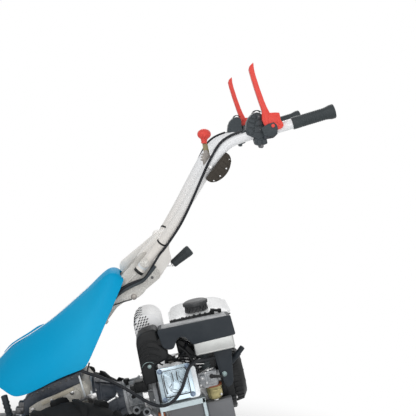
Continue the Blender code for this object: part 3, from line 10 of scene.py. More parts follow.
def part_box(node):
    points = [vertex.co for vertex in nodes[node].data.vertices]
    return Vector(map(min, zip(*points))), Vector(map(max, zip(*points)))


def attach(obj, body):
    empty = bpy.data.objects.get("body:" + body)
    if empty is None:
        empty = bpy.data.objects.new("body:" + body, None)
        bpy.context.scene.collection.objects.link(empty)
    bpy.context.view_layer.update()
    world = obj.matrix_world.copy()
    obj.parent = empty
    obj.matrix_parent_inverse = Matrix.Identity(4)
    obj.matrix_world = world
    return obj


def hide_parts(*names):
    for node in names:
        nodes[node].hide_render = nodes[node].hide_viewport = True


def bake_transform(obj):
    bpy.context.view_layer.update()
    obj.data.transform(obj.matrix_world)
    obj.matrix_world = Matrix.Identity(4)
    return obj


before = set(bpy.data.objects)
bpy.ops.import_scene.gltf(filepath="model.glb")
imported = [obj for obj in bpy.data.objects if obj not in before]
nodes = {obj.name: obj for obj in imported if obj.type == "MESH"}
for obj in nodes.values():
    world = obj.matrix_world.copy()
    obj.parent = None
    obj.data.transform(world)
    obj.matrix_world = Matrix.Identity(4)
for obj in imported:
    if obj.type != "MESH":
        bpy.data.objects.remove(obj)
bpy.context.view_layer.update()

# Where the two working frames stand: the wheel axle, and the tilted engine
axleLow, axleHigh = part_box("left_axle")
axleX = (axleLow.x + axleHigh.x) / 2
machineFrame = Matrix.Translation((axleX, 0, 0))
engine = {"crankX": 0.35, "crankZ": 0.44, "tilt": 12}
engineFrame = (Matrix.Translation((axleX + engine["crankX"], 0, engine["crankZ"]))
    @ Matrix.Rotation(-math.radians(engine["tilt"]), 4, "Y"))
print("frame loaded:", len(nodes), "nodes")


# Shapes, each handed on as an open bmesh

def bevelSharp(bm, width, segments, angle=30):
    edges = [e for e in bm.edges if len(e.link_faces) == 2 and e.calc_face_angle() > math.radians(angle)]
    if edges and width:
        bmesh.ops.bevel(bm, geom=edges, offset=width, segments=segments, profile=0.5, material=-1,
            affect="EDGES", clamp_overlap=True)
    return bm


def moved(bm, matrix):
    bmesh.ops.transform(bm, matrix=matrix, verts=bm.verts)
    if matrix.determinant() < 0:
        bmesh.ops.reverse_faces(bm, faces=bm.faces)
    return bm


def shift(x, y=0.0, z=0.0):
    return Matrix.Translation((x, y, z))


def turn(degrees, axis):
    return Matrix.Rotation(math.radians(degrees), 4, axis)


def joined(*shapes):
    whole = shapes[0]
    for other in shapes[1:]:
        spare = bpy.data.meshes.new("spare")
        other.to_mesh(spare)
        other.free()
        whole.from_mesh(spare)
        bpy.data.meshes.remove(spare)
    return whole


def mirrorCopy(bm):
    other = bm.copy()
    return moved(other, Matrix.Scale(-1, 4, (0, 1, 0)))


def block(x, y, z, bevel=0.0, segments=2):
    bm = bmesh.new()
    bmesh.ops.create_cube(bm, size=1.0)
    bmesh.ops.scale(bm, vec=[abs(pair[1] - pair[0]) for pair in (x, y, z)], verts=bm.verts)
    bmesh.ops.translate(bm, vec=[(pair[0] + pair[1]) / 2 for pair in (x, y, z)], verts=bm.verts)
    return bevelSharp(bm, bevel, segments)


def aim(start, end):
    line = Vector(end) - Vector(start)
    return Matrix.Translation(Vector(start)) @ line.to_track_quat("Z", "Y").to_matrix().to_4x4()


def rod(start, end, radius, endRadius=None, sides=32, bevel=0.0):
    length = (Vector(end) - Vector(start)).length
    bm = bmesh.new()
    bmesh.ops.create_cone(bm, cap_ends=True, segments=sides, radius1=radius,
        radius2=radius if endRadius is None else endRadius, depth=length)
    bmesh.ops.translate(bm, vec=(0, 0, length / 2), verts=bm.verts)
    bevelSharp(bm, bevel, 2, 65 if sides < 8 else 40)
    return moved(bm, aim(start, end))


def lathe(profile, steps, closed=False, start=(0, 0, 0), direction=(0, 0, 1)):
    bm = bmesh.new()
    points = [bm.verts.new((r, 0, h)) for r, h in profile]
    edges = [bm.edges.new(pair) for pair in zip(points, points[1:] + (points[:1] if closed else []))]
    bmesh.ops.spin(bm, geom=points + edges, cent=(0, 0, 0), axis=(0, 0, 1), angle=math.tau, steps=steps,
        use_merge=True)
    bmesh.ops.remove_doubles(bm, verts=bm.verts, dist=0.000005)
    bmesh.ops.recalc_face_normals(bm, faces=bm.faces)
    return moved(bm, aim(start, Vector(start) + Vector(direction)))


def plate(outline, low, high, plane="XZ", bevel=0.0, segments=2):
    bm = bmesh.new()
    if plane == "XZ":
        corners, lift = [(a, low, b) for a, b in outline], (0, high - low, 0)
    else:
        corners, lift = [(a, b, low) for a, b in outline], (0, 0, high - low)
    face = bm.faces.new([bm.verts.new(c) for c in corners])
    grown = bmesh.ops.extrude_face_region(bm, geom=[face])["geom"]
    bmesh.ops.translate(bm, vec=lift, verts=[v for v in grown if isinstance(v, bmesh.types.BMVert)])
    bmesh.ops.recalc_face_normals(bm, faces=bm.faces)
    return bevelSharp(bm, bevel, segments)


def arc(centre, radius, start, end, count):
    angles = [math.radians(start + (end - start) * i / (count - 1)) for i in range(count)]
    return [(centre[0] + radius * math.cos(a), centre[1] + radius * math.sin(a)) for a in angles]


def smoothRoute(points, step):
    pts = [Vector(p) for p in points]
    pts = [2 * pts[0] - pts[1]] + pts + [2 * pts[-1] - pts[-2]]
    route = []
    for a, b, c, d in zip(pts, pts[1:], pts[2:], pts[3:]):
        count = max(1, round((c - b).length / step))
        for i in range(count):
            t = i / count
            route.append(0.5 * (2 * b + (c - a) * t + (2 * a - 5 * b + 4 * c - d) * t * t
                    + (3 * b - a - 3 * c + d) * t ** 3))
    return route + [pts[-2]]


def sweep(points, radius, roundness, caps=True):
    curve = bpy.data.curves.new("sweep", "CURVE")
    curve.dimensions = "3D"
    curve.bevel_depth = radius
    curve.bevel_resolution = roundness
    curve.use_fill_caps = caps
    spline = curve.splines.new("POLY")
    spline.points.add(len(points) - 1)
    for point, at in zip(spline.points, points):
        point.co = (*at, 1)
    guide = bpy.data.objects.new("sweep", curve)
    bpy.context.scene.collection.objects.link(guide)
    bpy.context.view_layer.update()
    mesh = bpy.data.meshes.new_from_object(guide.evaluated_get(bpy.context.evaluated_depsgraph_get()))
    bpy.data.objects.remove(guide)
    bm = bmesh.new()
    bm.from_mesh(mesh)
    bpy.data.meshes.remove(mesh)
    bmesh.ops.remove_doubles(bm, verts=bm.verts, dist=0.000005)
    bmesh.ops.recalc_face_normals(bm, faces=bm.faces)
    return bm


def wire(points, step, radius, roundness):
    # a round wire or hose through a few points
    return sweep(smoothRoute(points, step), radius, roundness)


def crossRod(x, z, start, end, radius, *args, **options):
    # a rod along Y
    return rod((x, start, z), (x, end, z), radius, *args, **options)


def allOf(bm):
    return bm.verts[:] + bm.edges[:] + bm.faces[:]


def circle(count, radius, offset=0):
    # points spaced evenly round the origin
    angles = [math.radians(offset + 360 * k / count) for k in range(count)]
    return [(radius * math.cos(a), radius * math.sin(a)) for a in angles]


def around(count, axis, shape, offset=0):
    # copies of a shape, turned evenly round an axis
    copies = [moved(shape.copy(), turn(offset + 360 * k / count, axis)) for k in range(count)]
    shape.free()
    return copies


def closedLoft(bm, rings):
    # a solid through rings of points, which are lists of new vertices
    loops = [[bm.edges.new(pair) for pair in zip(ring, ring[1:] + ring[:1])] for ring in rings]
    for first, second in zip(loops, loops[1:]):
        bmesh.ops.bridge_loops(bm, edges=first + second)
    for end in (rings[0], rings[-1]):
        bm.faces.new(end)


toNear, toFar, toTop, toFront, toRear = (0, -1, 0), (0, 1, 0), (0, 0, 1), (-1, 0, 0), (1, 0, 0)


def hexHead(at, direction, size, height):
    # a flanged hexagon bolt head standing on a point
    at, direction = Vector(at), Vector(direction).normalized()
    flange = rod(at, at + direction * height * 0.22, size * 1.25, sides=24, bevel=height * 0.06)
    head = rod(at + direction * height * 0.2, at + direction * height, size, sides=6, bevel=size * 0.1)
    return joined(flange, head)


def panHead(at, direction, size, height):
    # a round screw head with a cross recess
    at, direction = Vector(at), Vector(direction).normalized()
    bm = lathe([(0, height * 0.72), (size * 0.16, height * 0.72), (size * 0.2, height),
            (size * 0.62, height * 0.92), (size * 0.92, height * 0.55), (size, 0), (0, 0)], 16)
    return moved(bm, aim(at, at + direction))


def addPiece(name, shape, body, finish, replaces="", place=machineFrame, sharp=35, bend=None):
    # one shape, or a list of shapes, as a named piece that rides a body, or is left unattached in place
    # when a bend is given
    bm = moved(joined(*shape) if isinstance(shape, list) else shape, place)
    mesh = bpy.data.meshes.new(name)
    bm.to_mesh(mesh)
    bm.free()
    mesh.materials.append(finish)
    mesh.shade_smooth()
    mesh.set_sharp_from_angle(angle=math.radians(sharp))
    piece = bpy.data.objects.new(name, mesh)
    bpy.context.scene.collection.objects.link(piece)
    if bend:
        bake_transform(piece)
    else:
        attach(piece, body)
    if replaces:
        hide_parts(replaces)
    return piece


def onChassis(name, shape, finish, replaces="", sharp=35):
    return addPiece(name, shape, "chassis", finish, replaces, sharp=sharp)


def onBars(name, shape, finish, replaces=""):
    return addPiece(name, shape, "handlebar", finish, replaces)


def onEngine(name, shape, finish, replaces="", sharp=35, body="chassis"):
    return addPiece(name, shape, body, finish, replaces, engineFrame, sharp)


def addPair(name, shape, bodies, finish, replaces="", sharp=35):
    # a left piece and its mirror image on the right
    bm = joined(*shape) if isinstance(shape, list) else shape
    for side, body, sided in (("left", bodies[0], bm), ("right", bodies[1], mirrorCopy(bm))):
        swapped = side + "_" + replaces if replaces else ""
        addPiece(side + "_" + name, sided, body, finish, swapped, sharp=sharp)


bothBars, bothWheels = ("handlebar", "handlebar"), ("left_wheel", "right_wheel")


# Finishes. Patterns read Object coordinates, which are metres from the middle of the machine.

def nodeKit(name, colour, roughness, metallic):
    finish = bpy.data.materials.new(name)
    finish.use_nodes = True
    tree = finish.node_tree
    shader = tree.nodes["Principled BSDF"]
    shader.inputs["Base Color"].default_value = (*colour, 1)
    shader.inputs["Roughness"].default_value = roughness
    shader.inputs["Metallic"].default_value = metallic
    place = tree.nodes.new("ShaderNodeTexCoord").outputs["Object"]
    return finish, tree, shader, place


def noiseField(tree, place, scale, detail, rough=0.55, stretch=None):
    if stretch:
        mapping = tree.nodes.new("ShaderNodeMapping")
        mapping.inputs["Scale"].default_value = stretch
        tree.links.new(place, mapping.inputs["Vector"])
        place = mapping.outputs["Vector"]
    noise = tree.nodes.new("ShaderNodeTexNoise")
    noise.inputs["Scale"].default_value = scale
    noise.inputs["Detail"].default_value = detail
    noise.inputs["Roughness"].default_value = rough
    tree.links.new(place, noise.inputs["Vector"])
    return noise.outputs["Fac"]


def ramp(tree, field, stops):
    made = tree.nodes.new("ShaderNodeValToRGB")
    elements = made.color_ramp.elements
    for i, (at, colour) in enumerate(stops):
        element = elements[i] if i < 2 else elements.new(at)
        element.position = at
        element.color = (*colour, 1)
    tree.links.new(field, made.inputs["Fac"])
    return made.outputs["Color"]


def mapped(tree, field, fromLow, fromHigh, low=0.0, high=1.0):
    made = tree.nodes.new("ShaderNodeMapRange")
    for socket, value in zip(("From Min", "From Max", "To Min", "To Max"), (fromLow, fromHigh, low, high)):
        made.inputs[socket].default_value = value
    tree.links.new(field, made.inputs["Value"])
    return made.outputs["Result"]


def spread(tree, noise, low, high):
    # the middle of a noise's range, stretched from low to high
    return mapped(tree, noise, 0.3, 0.7, low, high)


def alongAxis(tree, place, axis, start, end):
    split = tree.nodes.new("ShaderNodeSeparateXYZ")
    tree.links.new(place, split.inputs["Vector"])
    return mapped(tree, split.outputs[axis], start, end)


def blendColours(tree, share, first, second):
    mix = tree.nodes.new("ShaderNodeMix")
    mix.data_type = "RGBA"
    tree.links.new(share, mix.inputs["Factor"])
    for socket, value in ((mix.inputs["A"], first), (mix.inputs["B"], second)):
        if isinstance(value, tuple):
            socket.default_value = (*value, 1)
        else:
            tree.links.new(value, socket)
    return mix.outputs["Result"]


def relief(tree, shader, fields):
    # each field is (height, depth in metres); the bumps follow one another
    last = None
    for height, depth in fields:
        bump = tree.nodes.new("ShaderNodeBump")
        bump.inputs["Strength"].default_value = 1.0
        bump.inputs["Distance"].default_value = depth
        tree.links.new(height, bump.inputs["Height"])
        if last:
            tree.links.new(last, bump.inputs["Normal"])
        last = bump.outputs["Normal"]
    tree.links.new(last, shader.inputs["Normal"])


def edgeShare(tree, low, high):
    # 0 on flats and 1 on worn outer edges
    return mapped(tree, tree.nodes.new("ShaderNodeNewGeometry").outputs["Pointiness"], low, high)


def times(tree, first, second):
    made = tree.nodes.new("ShaderNodeMath")
    made.operation = "MULTIPLY"
    tree.links.new(first, made.inputs[0])
    tree.links.new(second, made.inputs[1])
    return made.outputs["Value"]


def scaled(colour, by):
    return tuple(min(1.0, c * by) for c in colour)


def paintFinish(name, colour, roughness, shadeBy, peel=0.00006, wear=None):
    # sprayed or powder-coated paint: faint clouding, orange peel, worn edges
    finish, tree, shader, place = nodeKit(name, colour, roughness, 0.0)
    cloud = noiseField(tree, place, 9.0, 3.0)
    body = ramp(tree, cloud, [(0.3, scaled(colour, 1 - shadeBy)), (0.7, scaled(colour, 1 + shadeBy))])
    grain = noiseField(tree, place, 420.0, 2.0)
    if wear:
        rubbed = times(tree, edgeShare(tree, 0.53, 0.6), noiseField(tree, place, 90.0, 4.0, 0.7))
        body = blendColours(tree, rubbed, body, wear)
    tree.links.new(body, shader.inputs["Base Color"])
    tree.links.new(spread(tree, grain, roughness - 0.05, roughness + 0.07), shader.inputs["Roughness"])
    relief(tree, shader, [(grain, peel)])
    return finish


def castFinish(name, colour, roughness, metallic, mottle, depth, grime):
    # sand or die casting: mottled, pitted, with random clouds of a second tone
    finish, tree, shader, place = nodeKit(name, colour, roughness, metallic)
    speck = noiseField(tree, place, 260.0, 5.0, 0.65)
    cloud = noiseField(tree, place, 24.0, 5.0, 0.6)
    body = ramp(tree, speck, [(0.32, scaled(colour, 1 - mottle)), (0.62, scaled(colour, 1 + mottle * 0.7))])
    dirt = ramp(tree, cloud, [(0.42, (0, 0, 0)), (0.68, (1, 1, 1))])
    body = blendColours(tree, dirt, body, grime)
    tree.links.new(body, shader.inputs["Base Color"])
    tree.links.new(spread(tree, cloud, roughness - 0.08, roughness + 0.14), shader.inputs["Roughness"])
    relief(tree, shader, [(cloud, depth * 1.5), (speck, depth)])
    return finish


def plasticFinish(name, colour, roughness, grainSize=700.0, depth=0.00012, dust=0.06):
    # moulded plastic: a leathery grain, with paler rubbed patches
    finish, tree, shader, place = nodeKit(name, colour, roughness, 0.0)
    grain = noiseField(tree, place, grainSize, 3.0)
    cloud = noiseField(tree, place, 14.0, 4.0, 0.6)
    pale = tuple(c + dust * 0.25 for c in colour)
    tree.links.new(ramp(tree, cloud, [(0.35, colour), (0.75, pale)]), shader.inputs["Base Color"])
    shader.inputs["Specular IOR Level"].default_value = 0.2
    tree.links.new(spread(tree, cloud, roughness - 0.07, roughness + 0.1), shader.inputs["Roughness"])
    relief(tree, shader, [(grain, depth)])
    return finish


def steelFinish(name, colour, roughness, along=(1, 1, 18), metallic=0.95, stain=0.25, depth=0.00004):
    # machined or rolled steel: fine tool lines and faint staining
    finish, tree, shader, place = nodeKit(name, colour, roughness, metallic)
    lines = noiseField(tree, place, 110.0, 3.0, 0.6, stretch=along)
    cloud = noiseField(tree, place, 30.0, 5.0, 0.6)
    marked = ramp(tree, cloud, [(0.35, colour), (0.8, scaled(colour, 1 - stain))])
    tree.links.new(marked, shader.inputs["Base Color"])
    tree.links.new(spread(tree, lines, roughness - 0.08, roughness + 0.15), shader.inputs["Roughness"])
    relief(tree, shader, [(lines, depth)])
    return finish


def rubberFinish(name, colour, roughness, grainSize, depth, dusty, dust):
    # moulded rubber with dust that has settled in patches
    finish, tree, shader, place = nodeKit(name, colour, roughness, 0.0)
    grain = noiseField(tree, place, grainSize, 4.0, 0.6)
    cloud = noiseField(tree, place, 18.0, 6.0, 0.65)
    share = spread(tree, cloud, 0.0, dust)
    tree.links.new(blendColours(tree, share, colour, dusty), shader.inputs["Base Color"])
    shader.inputs["Specular IOR Level"].default_value = 0.2
    tree.links.new(spread(tree, grain, roughness - 0.08, roughness + 0.08), shader.inputs["Roughness"])
    relief(tree, shader, [(grain, depth)])
    return finish


def hoodFinish(name, colour, pale, dark):
    # glossy moulded panel, with painted shade darkening it towards its nose, a painted highlight band near
    # its rear, and random darker clouding
    finish, tree, shader, place = nodeKit(name, colour, 0.3, 0.0)
    drift = noiseField(tree, place, 3.5, 2.0)
    grain = noiseField(tree, place, 900.0, 2.0)
    reach = alongAxis(tree, place, "X", -0.2, 0.2)
    body = ramp(tree, reach, [(0.0, dark), (1.0, colour), (0.5, colour), (0.78, pale)])
    tree.links.new(blendColours(tree, spread(tree, drift, 0.0, 0.25), body, dark),
        shader.inputs["Base Color"])
    tree.links.new(spread(tree, grain, 0.44, 0.52), shader.inputs["Roughness"])
    shader.inputs["Specular IOR Level"].default_value = 0.1
    relief(tree, shader, [(drift, 0.0004), (grain, 0.00002)])
    return finish


def tubeFinish(name, cool, paintedShadeAndStreak, fromZ, toZ):
    # powder coat with painted shade, warmer and darker lower down towards the machine's middle, and faint
    # random streaks
    finish, tree, shader, place = nodeKit(name, cool, 0.32, 0.0)
    body = ramp(tree, alongAxis(tree, place, "Z", fromZ, toZ), [(0.0, paintedShadeAndStreak), (1.0, cool)])
    streak = noiseField(tree, place, 9.0, 2.0, 0.4, stretch=(3, 3, 0.5))
    tree.links.new(blendColours(tree, spread(tree, streak, 0.0, 0.12), body, scaled(paintedShadeAndStreak, 0.93)),
        shader.inputs["Base Color"])
    tree.links.new(spread(tree, streak, 0.27, 0.38), shader.inputs["Roughness"])
    relief(tree, shader, [(streak, 0.000006)])
    return finish


colours = {"hood": (0.0, 0.35, 0.65), "hoodPaintedHighlight": (0.012, 0.39, 0.69), "hoodPaintedShadeAndTone": (0.0, 0.29, 0.54),
    "white": (0.9, 0.905, 0.91), "cream": (0.66, 0.645, 0.61), "red": (0.76, 0.075, 0.058),
    "darkPaint": (0.022, 0.029, 0.038), "cast": (0.5, 0.51, 0.52), "silver": (0.33, 0.41, 0.46)}
# the hood's pale colour is a painted highlight; its dark colour is painted shade and also random clouding
hoodBlue = hoodFinish("hood plastic", colours["hood"], colours["hoodPaintedHighlight"], colours["hoodPaintedShadeAndTone"])
whitePaint = paintFinish("white powder coat", colours["white"], 0.3, 0.02, 0.00003)
# the second colour is painted shade on the lower parts of the tubes
barPaint = tubeFinish("handlebar powder coat", (0.85, 0.865, 0.885), (0.78, 0.745, 0.7), 0.86, 1.1)
whiteCasting = castFinish("painted white casting", (0.89, 0.87, 0.835), 0.45, 0.0, 0.04, 0.0002,
    (0.84, 0.815, 0.775))
creamCasting = castFinish("cream casting", colours["cream"], 0.52, 0.0, 0.34, 0.0004, (0.52, 0.5, 0.465))
redPlastic = plasticFinish("red moulded plastic", colours["red"], 0.36, 900.0, 0.000008, 0.05)
gripRubber = rubberFinish("grip rubber", (0.034, 0.042, 0.046), 0.46, 900.0, 0.00003, (0.085, 0.095, 0.1),
    0.25)
padRubber = rubberFinish("knee pad rubber", (0.04, 0.034, 0.028), 0.66, 700.0, 0.0002, (0.11, 0.095, 0.075),
    0.3)
tyreRubber = rubberFinish("tyre rubber", (0.005, 0.006, 0.007), 0.8, 420.0, 0.0003, (0.022, 0.022, 0.021),
    0.3)
greyPlastic = plasticFinish("dark grey plastic", (0.045, 0.055, 0.062), 0.45)
blackPlastic = plasticFinish("black plastic", (0.009, 0.01, 0.011), 0.42)
blackPaint = paintFinish("black sheet paint", (0.013, 0.015, 0.018), 0.4, 0.15, wear=(0.2, 0.2, 0.2))
darkCasting = castFinish("dark painted casting", colours["darkPaint"], 0.46, 0.15, 0.25, 0.0003,
    (0.024, 0.026, 0.03))
castAlloy = castFinish("cast alloy", colours["cast"], 0.46, 0.75, 0.2, 0.0003, (0.3, 0.3, 0.3))
coverAlloy = castFinish("polished cast cover", colours["silver"], 0.24, 0.95, 0.05, 0.00003,
    (0.44, 0.51, 0.56))
paleAlloy = castFinish("pale gasket face", (0.72, 0.76, 0.78), 0.45, 0.4, 0.08, 0.0001, (0.58, 0.6, 0.62))
brightSteel = steelFinish("bright steel", (0.62, 0.62, 0.62), 0.28)
knifeSteel = steelFinish("ground knife steel", (0.5, 0.5, 0.5), 0.3, (18, 1, 1), stain=0.35)
darkSteel = steelFinish("rolled dark steel", (0.15, 0.15, 0.155), 0.48, (1, 14, 1), metallic=0.8, stain=0.4,
    depth=0.0001)
yellowZinc = steelFinish("yellow zinc", (0.5, 0.44, 0.22), 0.32, (1, 1, 8), metallic=0.85, stain=0.55)
brownSteel = steelFinish("bronzed stem", (0.22, 0.19, 0.11), 0.42, (1, 1, 12), stain=0.3)
blueSteel = steelFinish("blued bolt steel", (0.13, 0.17, 0.23), 0.3, (1, 1, 6), metallic=0.9, stain=0.2)
sootSteel = steelFinish("heat-stained steel", (0.3, 0.28, 0.26), 0.42, (1, 10, 1), metallic=0.8, stain=0.5)
brushedBand = steelFinish("brushed air box band", (0.5, 0.51, 0.5), 0.34, (2, 2, 26), metallic=0.75,
    stain=0.15)
slatePlastic = plasticFinish("slate air box plastic", (0.02, 0.026, 0.033), 0.46)
capPlastic = castFinish("speckled cap plastic", (0.045, 0.047, 0.05), 0.55, 0.0, 0.5, 0.0002,
    (0.14, 0.14, 0.14))
tankWhite = paintFinish("tank enamel", (0.86, 0.87, 0.875), 0.26, 0.02)
navyCasting = castFinish("dark navy casting", (0.024, 0.032, 0.045), 0.45, 0.0, 0.5, 0.0003,
    (0.09, 0.1, 0.12))
greyCasting = castFinish("grey adaptor casting", (0.22, 0.235, 0.25), 0.45, 0.3, 0.5, 0.0003,
    (0.4, 0.41, 0.42))
tanPaint = paintFinish("tan strip enamel", (0.5, 0.46, 0.37), 0.45, 0.08)
panelGrey = paintFinish("grey panel paint", (0.135, 0.14, 0.15), 0.5, 0.06)
paleBlue = paintFinish("pale blue bracket paint", (0.7, 0.82, 0.86), 0.32, 0.06)
boxAlloy = castFinish("speckled gearbox casting", (0.4, 0.385, 0.345), 0.5, 0.2, 0.35, 0.0004,
    (0.27, 0.26, 0.24))
rustBrown = paintFinish("red-brown primer", (0.26, 0.085, 0.035), 0.55, 0.2)
tealSteel = steelFinish("teal-tinted bolt", (0.27, 0.35, 0.35), 0.34, (1, 1, 6), metallic=0.9, stain=0.5)
# the pale colour of the air box top is a painted reflection of the bright surroundings
paintedReflectionTop = castFinish("air box top painted reflection", (0.48, 0.49, 0.5), 0.6, 0.0, 0.45, 0.0002, (0.22, 0.23, 0.24))
voidBlack = paintFinish("unlit opening", (0.006, 0.006, 0.007), 0.85, 0.1)
cableSheath = plasticFinish("cable sheath", (0.014, 0.016, 0.02), 0.4, 1200.0, 0.00004, 0.05)
print("finishes made:", len(bpy.data.materials))


# Hood: a thin shell lofted between half sections, mirrored and rolled at its edges
hoodShape = {"ridge": [(-0.262, 0.492), (-0.229, 0.517), (-0.19, 0.556), (-0.142, 0.584), (-0.081, 0.624),
        (-0.028, 0.668), (0.034, 0.722), (0.076, 0.763), (0.098, 0.777), (0.118, 0.772), (0.137, 0.756)],
    "edge": [(-0.266, 0.484), (-0.24, 0.468), (-0.211, 0.455), (-0.186, 0.441), (-0.164, 0.434),
        (-0.119, 0.451), (-0.087, 0.468), (-0.036, 0.4925), (-0.001, 0.5047), (0.022, 0.513),
        (0.034, 0.5245)],
    "ridgeHalf": [0.006, 0.014, 0.022, 0.028, 0.032, 0.034, 0.038, 0.046, 0.052, 0.057, 0.06],
    "edgeHalf": [0.02, 0.07, 0.095, 0.11, 0.116, 0.118, 0.118, 0.118, 0.117, 0.116, 0.115], "points": 7,
    "wall": 0.0032, "earNotch": (0.126, 0.0463, 0.736)}


def hoodSection(bm, ridge, edge, ridgeHalf, edgeHalf):
    # one side's line from the lower edge up to the middle
    count = hoodShape["points"]
    height = ridge[1] - edge[1]
    line = []
    for k in range(count):
        t = k / (count - 1)
        out = edgeHalf + (ridgeHalf - edgeHalf) * t ** 1.25 + math.sin(math.pi * t) * 0.05 * height
        line.append(bm.verts.new((edge[0] + (ridge[0] - edge[0]) * t, -out, edge[1] + height * t)))
    line.append(bm.verts.new((ridge[0], -ridgeHalf * 0.55, ridge[1] + ridgeHalf * 0.17)))
    line.append(bm.verts.new((ridge[0], 0, ridge[1] + ridgeHalf * 0.22)))
    return [bm.edges.new(pair) for pair in zip(line, line[1:])]


hoodBm = bmesh.new()
hoodLines = [hoodSection(hoodBm, *row)
    for row in zip(hoodShape["ridge"], hoodShape["edge"], hoodShape["ridgeHalf"], hoodShape["edgeHalf"])]
for first, second in zip(hoodLines, hoodLines[1:]):
    bmesh.ops.bridge_loops(hoodBm, edges=first + second)
notchX, notchY, notchZ = hoodShape["earNotch"]
for at, normal in (((notchX, 0, 0), (1, 0, 0)), ((0, -notchY, 0), (0, 1, 0)), ((0, 0, notchZ), (0, 0, 1))):
    bmesh.ops.bisect_plane(hoodBm, geom=allOf(hoodBm), dist=0.000001, plane_co=at, plane_no=normal)
inNotch = [f for f in hoodBm.faces if f.calc_center_median().x > notchX
    and f.calc_center_median().y > -notchY and f.calc_center_median().z > notchZ]
bmesh.ops.delete(hoodBm, geom=inNotch, context="FACES")
bmesh.ops.mirror(hoodBm, geom=allOf(hoodBm), axis="Y", merge_dist=0.00002)
bmesh.ops.remove_doubles(hoodBm, verts=hoodBm.verts, dist=0.00002)
bmesh.ops.recalc_face_normals(hoodBm, faces=hoodBm.faces)
if sum(f.normal.z * f.calc_area() for f in hoodBm.faces) < 0:
    bmesh.ops.reverse_faces(hoodBm, faces=hoodBm.faces)
hood = onChassis("hood_panel", hoodBm, hoodBlue, "hood", sharp=60)
for kind, settings in (("SUBSURF", {"levels": 2, "render_levels": 2}),
        ("SOLIDIFY", {"thickness": hoodShape["wall"], "offset": -1.0}),
        ("BEVEL", {"width": 0.0012, "segments": 2, "angle_limit": math.radians(60)})):
    step = hood.modifiers.new(kind.lower(), kind)
    for setting, value in settings.items():
        setattr(step, setting, value)
ridgeLine = [(x, z + half * 0.22)
    for (x, z), half in zip(hoodShape["ridge"][1:7], hoodShape["ridgeHalf"][1:7])]
# a thin white line along the ridge: a painted highlight on the rounded crest
onChassis("hood_ridge_painted_highlight", wire([(x, -0.006, z + 0.0006) for x, z in ridgeLine], 0.01, 0.0014, 3),
    whitePaint)
onChassis("hood_far_lip", wire([(-0.212, 0.008, 0.534), (-0.19, 0.008, 0.5585), (-0.142, 0.008, 0.589),
            (-0.112, 0.008, 0.6088), (-0.09, 0.008, 0.615)], 0.01, 0.0062, 4), hoodBlue)
print("hood made")


# Steering column and head bracket
head = {"pivot": (0.198, 0.81), "earIn": 0.034, "earOut": 0.046, "columnR": 0.0215}
columnLow, columnTop = Vector((-0.045, 0, 0.482)), Vector((0.112, 0, 0.698))
columnWay = (columnTop - columnLow).normalized()
column = rod(columnLow, columnTop, head["columnR"] - 0.0002, sides=48)
for along, radius, length in ((0.004, 0.03, 0.016), (0.186, 0.026, 0.01)):
    ring = rod(columnLow + columnWay * along, columnLow + columnWay * (along + length), radius, sides=48,
        bevel=0.002)
    column = joined(column, ring)
column = joined(column, rod((-0.056, 0, 0.467), (-0.049, 0, 0.4765), 0.036, sides=6, bevel=0.003))
onChassis("steering_column_tube", column, creamCasting, "steering_column")

bracketOutline = ([(0.104, 0.664), (0.122, 0.679), (0.14, 0.692), (0.16, 0.699), (0.178, 0.703),
        (0.192, 0.714), (0.203, 0.728)] + arc((0.224, 0.769), 0.019, -35, 60, 7)
    + arc(head["pivot"], 0.025, 25, 165, 15) + [(0.116, 0.752), (0.082, 0.706)])
ear = plate(bracketOutline, -head["earOut"], -head["earIn"], bevel=0.0028, segments=3)
webBlock = plate(bracketOutline, -head["earOut"] + 0.003, head["earOut"] - 0.003)
bmesh.ops.bisect_plane(webBlock, geom=allOf(webBlock), dist=0.000001, plane_co=(0.131, 0, 0),
    plane_no=(1, 0, 0), clear_outer=True)
bmesh.ops.holes_fill(webBlock, edges=webBlock.edges)
bmesh.ops.recalc_face_normals(webBlock, faces=webBlock.faces)
rib = wire([(0.106, -0.0452, 0.716), (0.14, -0.0452, 0.742), (0.176, -0.0452, 0.777)], 0.01, 0.0035, 3)
boss = crossRod(*head["pivot"], -0.0462, -0.0448, 0.0165, sides=40, bevel=0.0008)
earTail = plate(arc((0.218, 0.763), 0.015, -120, 60, 12) + [(0.209, 0.79), (0.19, 0.776), (0.198, 0.748)],
    -0.0462, -0.0375, bevel=0.0015)
ear = joined(ear, earTail, rib, boss, crossRod(0.166, 0.7065, -0.0475, -0.044, 0.0095, bevel=0.001))
bracket = joined(webBlock, mirrorCopy(ear), ear)
onChassis("head_bracket_casting", bracket, creamCasting, "head_bracket")
onChassis("bracket_bore_shadow", crossRod(0.2193, 0.762, -0.0465, -0.044, 0.0045, sides=24), blackPaint)
onChassis("bracket_stop_bolts",
    [hexHead((0.166, side * 0.047, 0.7065), (0, side, 0), 0.0072, 0.0065) for side in (-1, 1)], sootSteel)
onChassis("hood_stay_wire", rod((0.0392, -0.112, 0.53), (0.0318, -0.115, 0.501), 0.0022, sides=16),
    cableSheath)
onChassis("bracket_stop_wire",
    wire([(0.16, -0.05, 0.699), (0.138, -0.05, 0.693), (0.106, -0.0485, 0.682)], 0.008, 0.0016, 2),
    cableSheath)

pivotX, pivotZ = head["pivot"]
pivotLeft, pivotRight = -0.0828, 0.1023
onChassis("pivot_bolt_set", [
        crossRod(pivotX, pivotZ, pivotLeft, pivotRight, 0.008),
        hexHead((pivotX, pivotLeft, pivotZ), toNear, 0.0112, 0.0068),
        hexHead((pivotX, pivotRight, pivotZ), toFar, 0.0112, 0.0088)], creamCasting,
    "pivot_bolt")
print("column and head made")


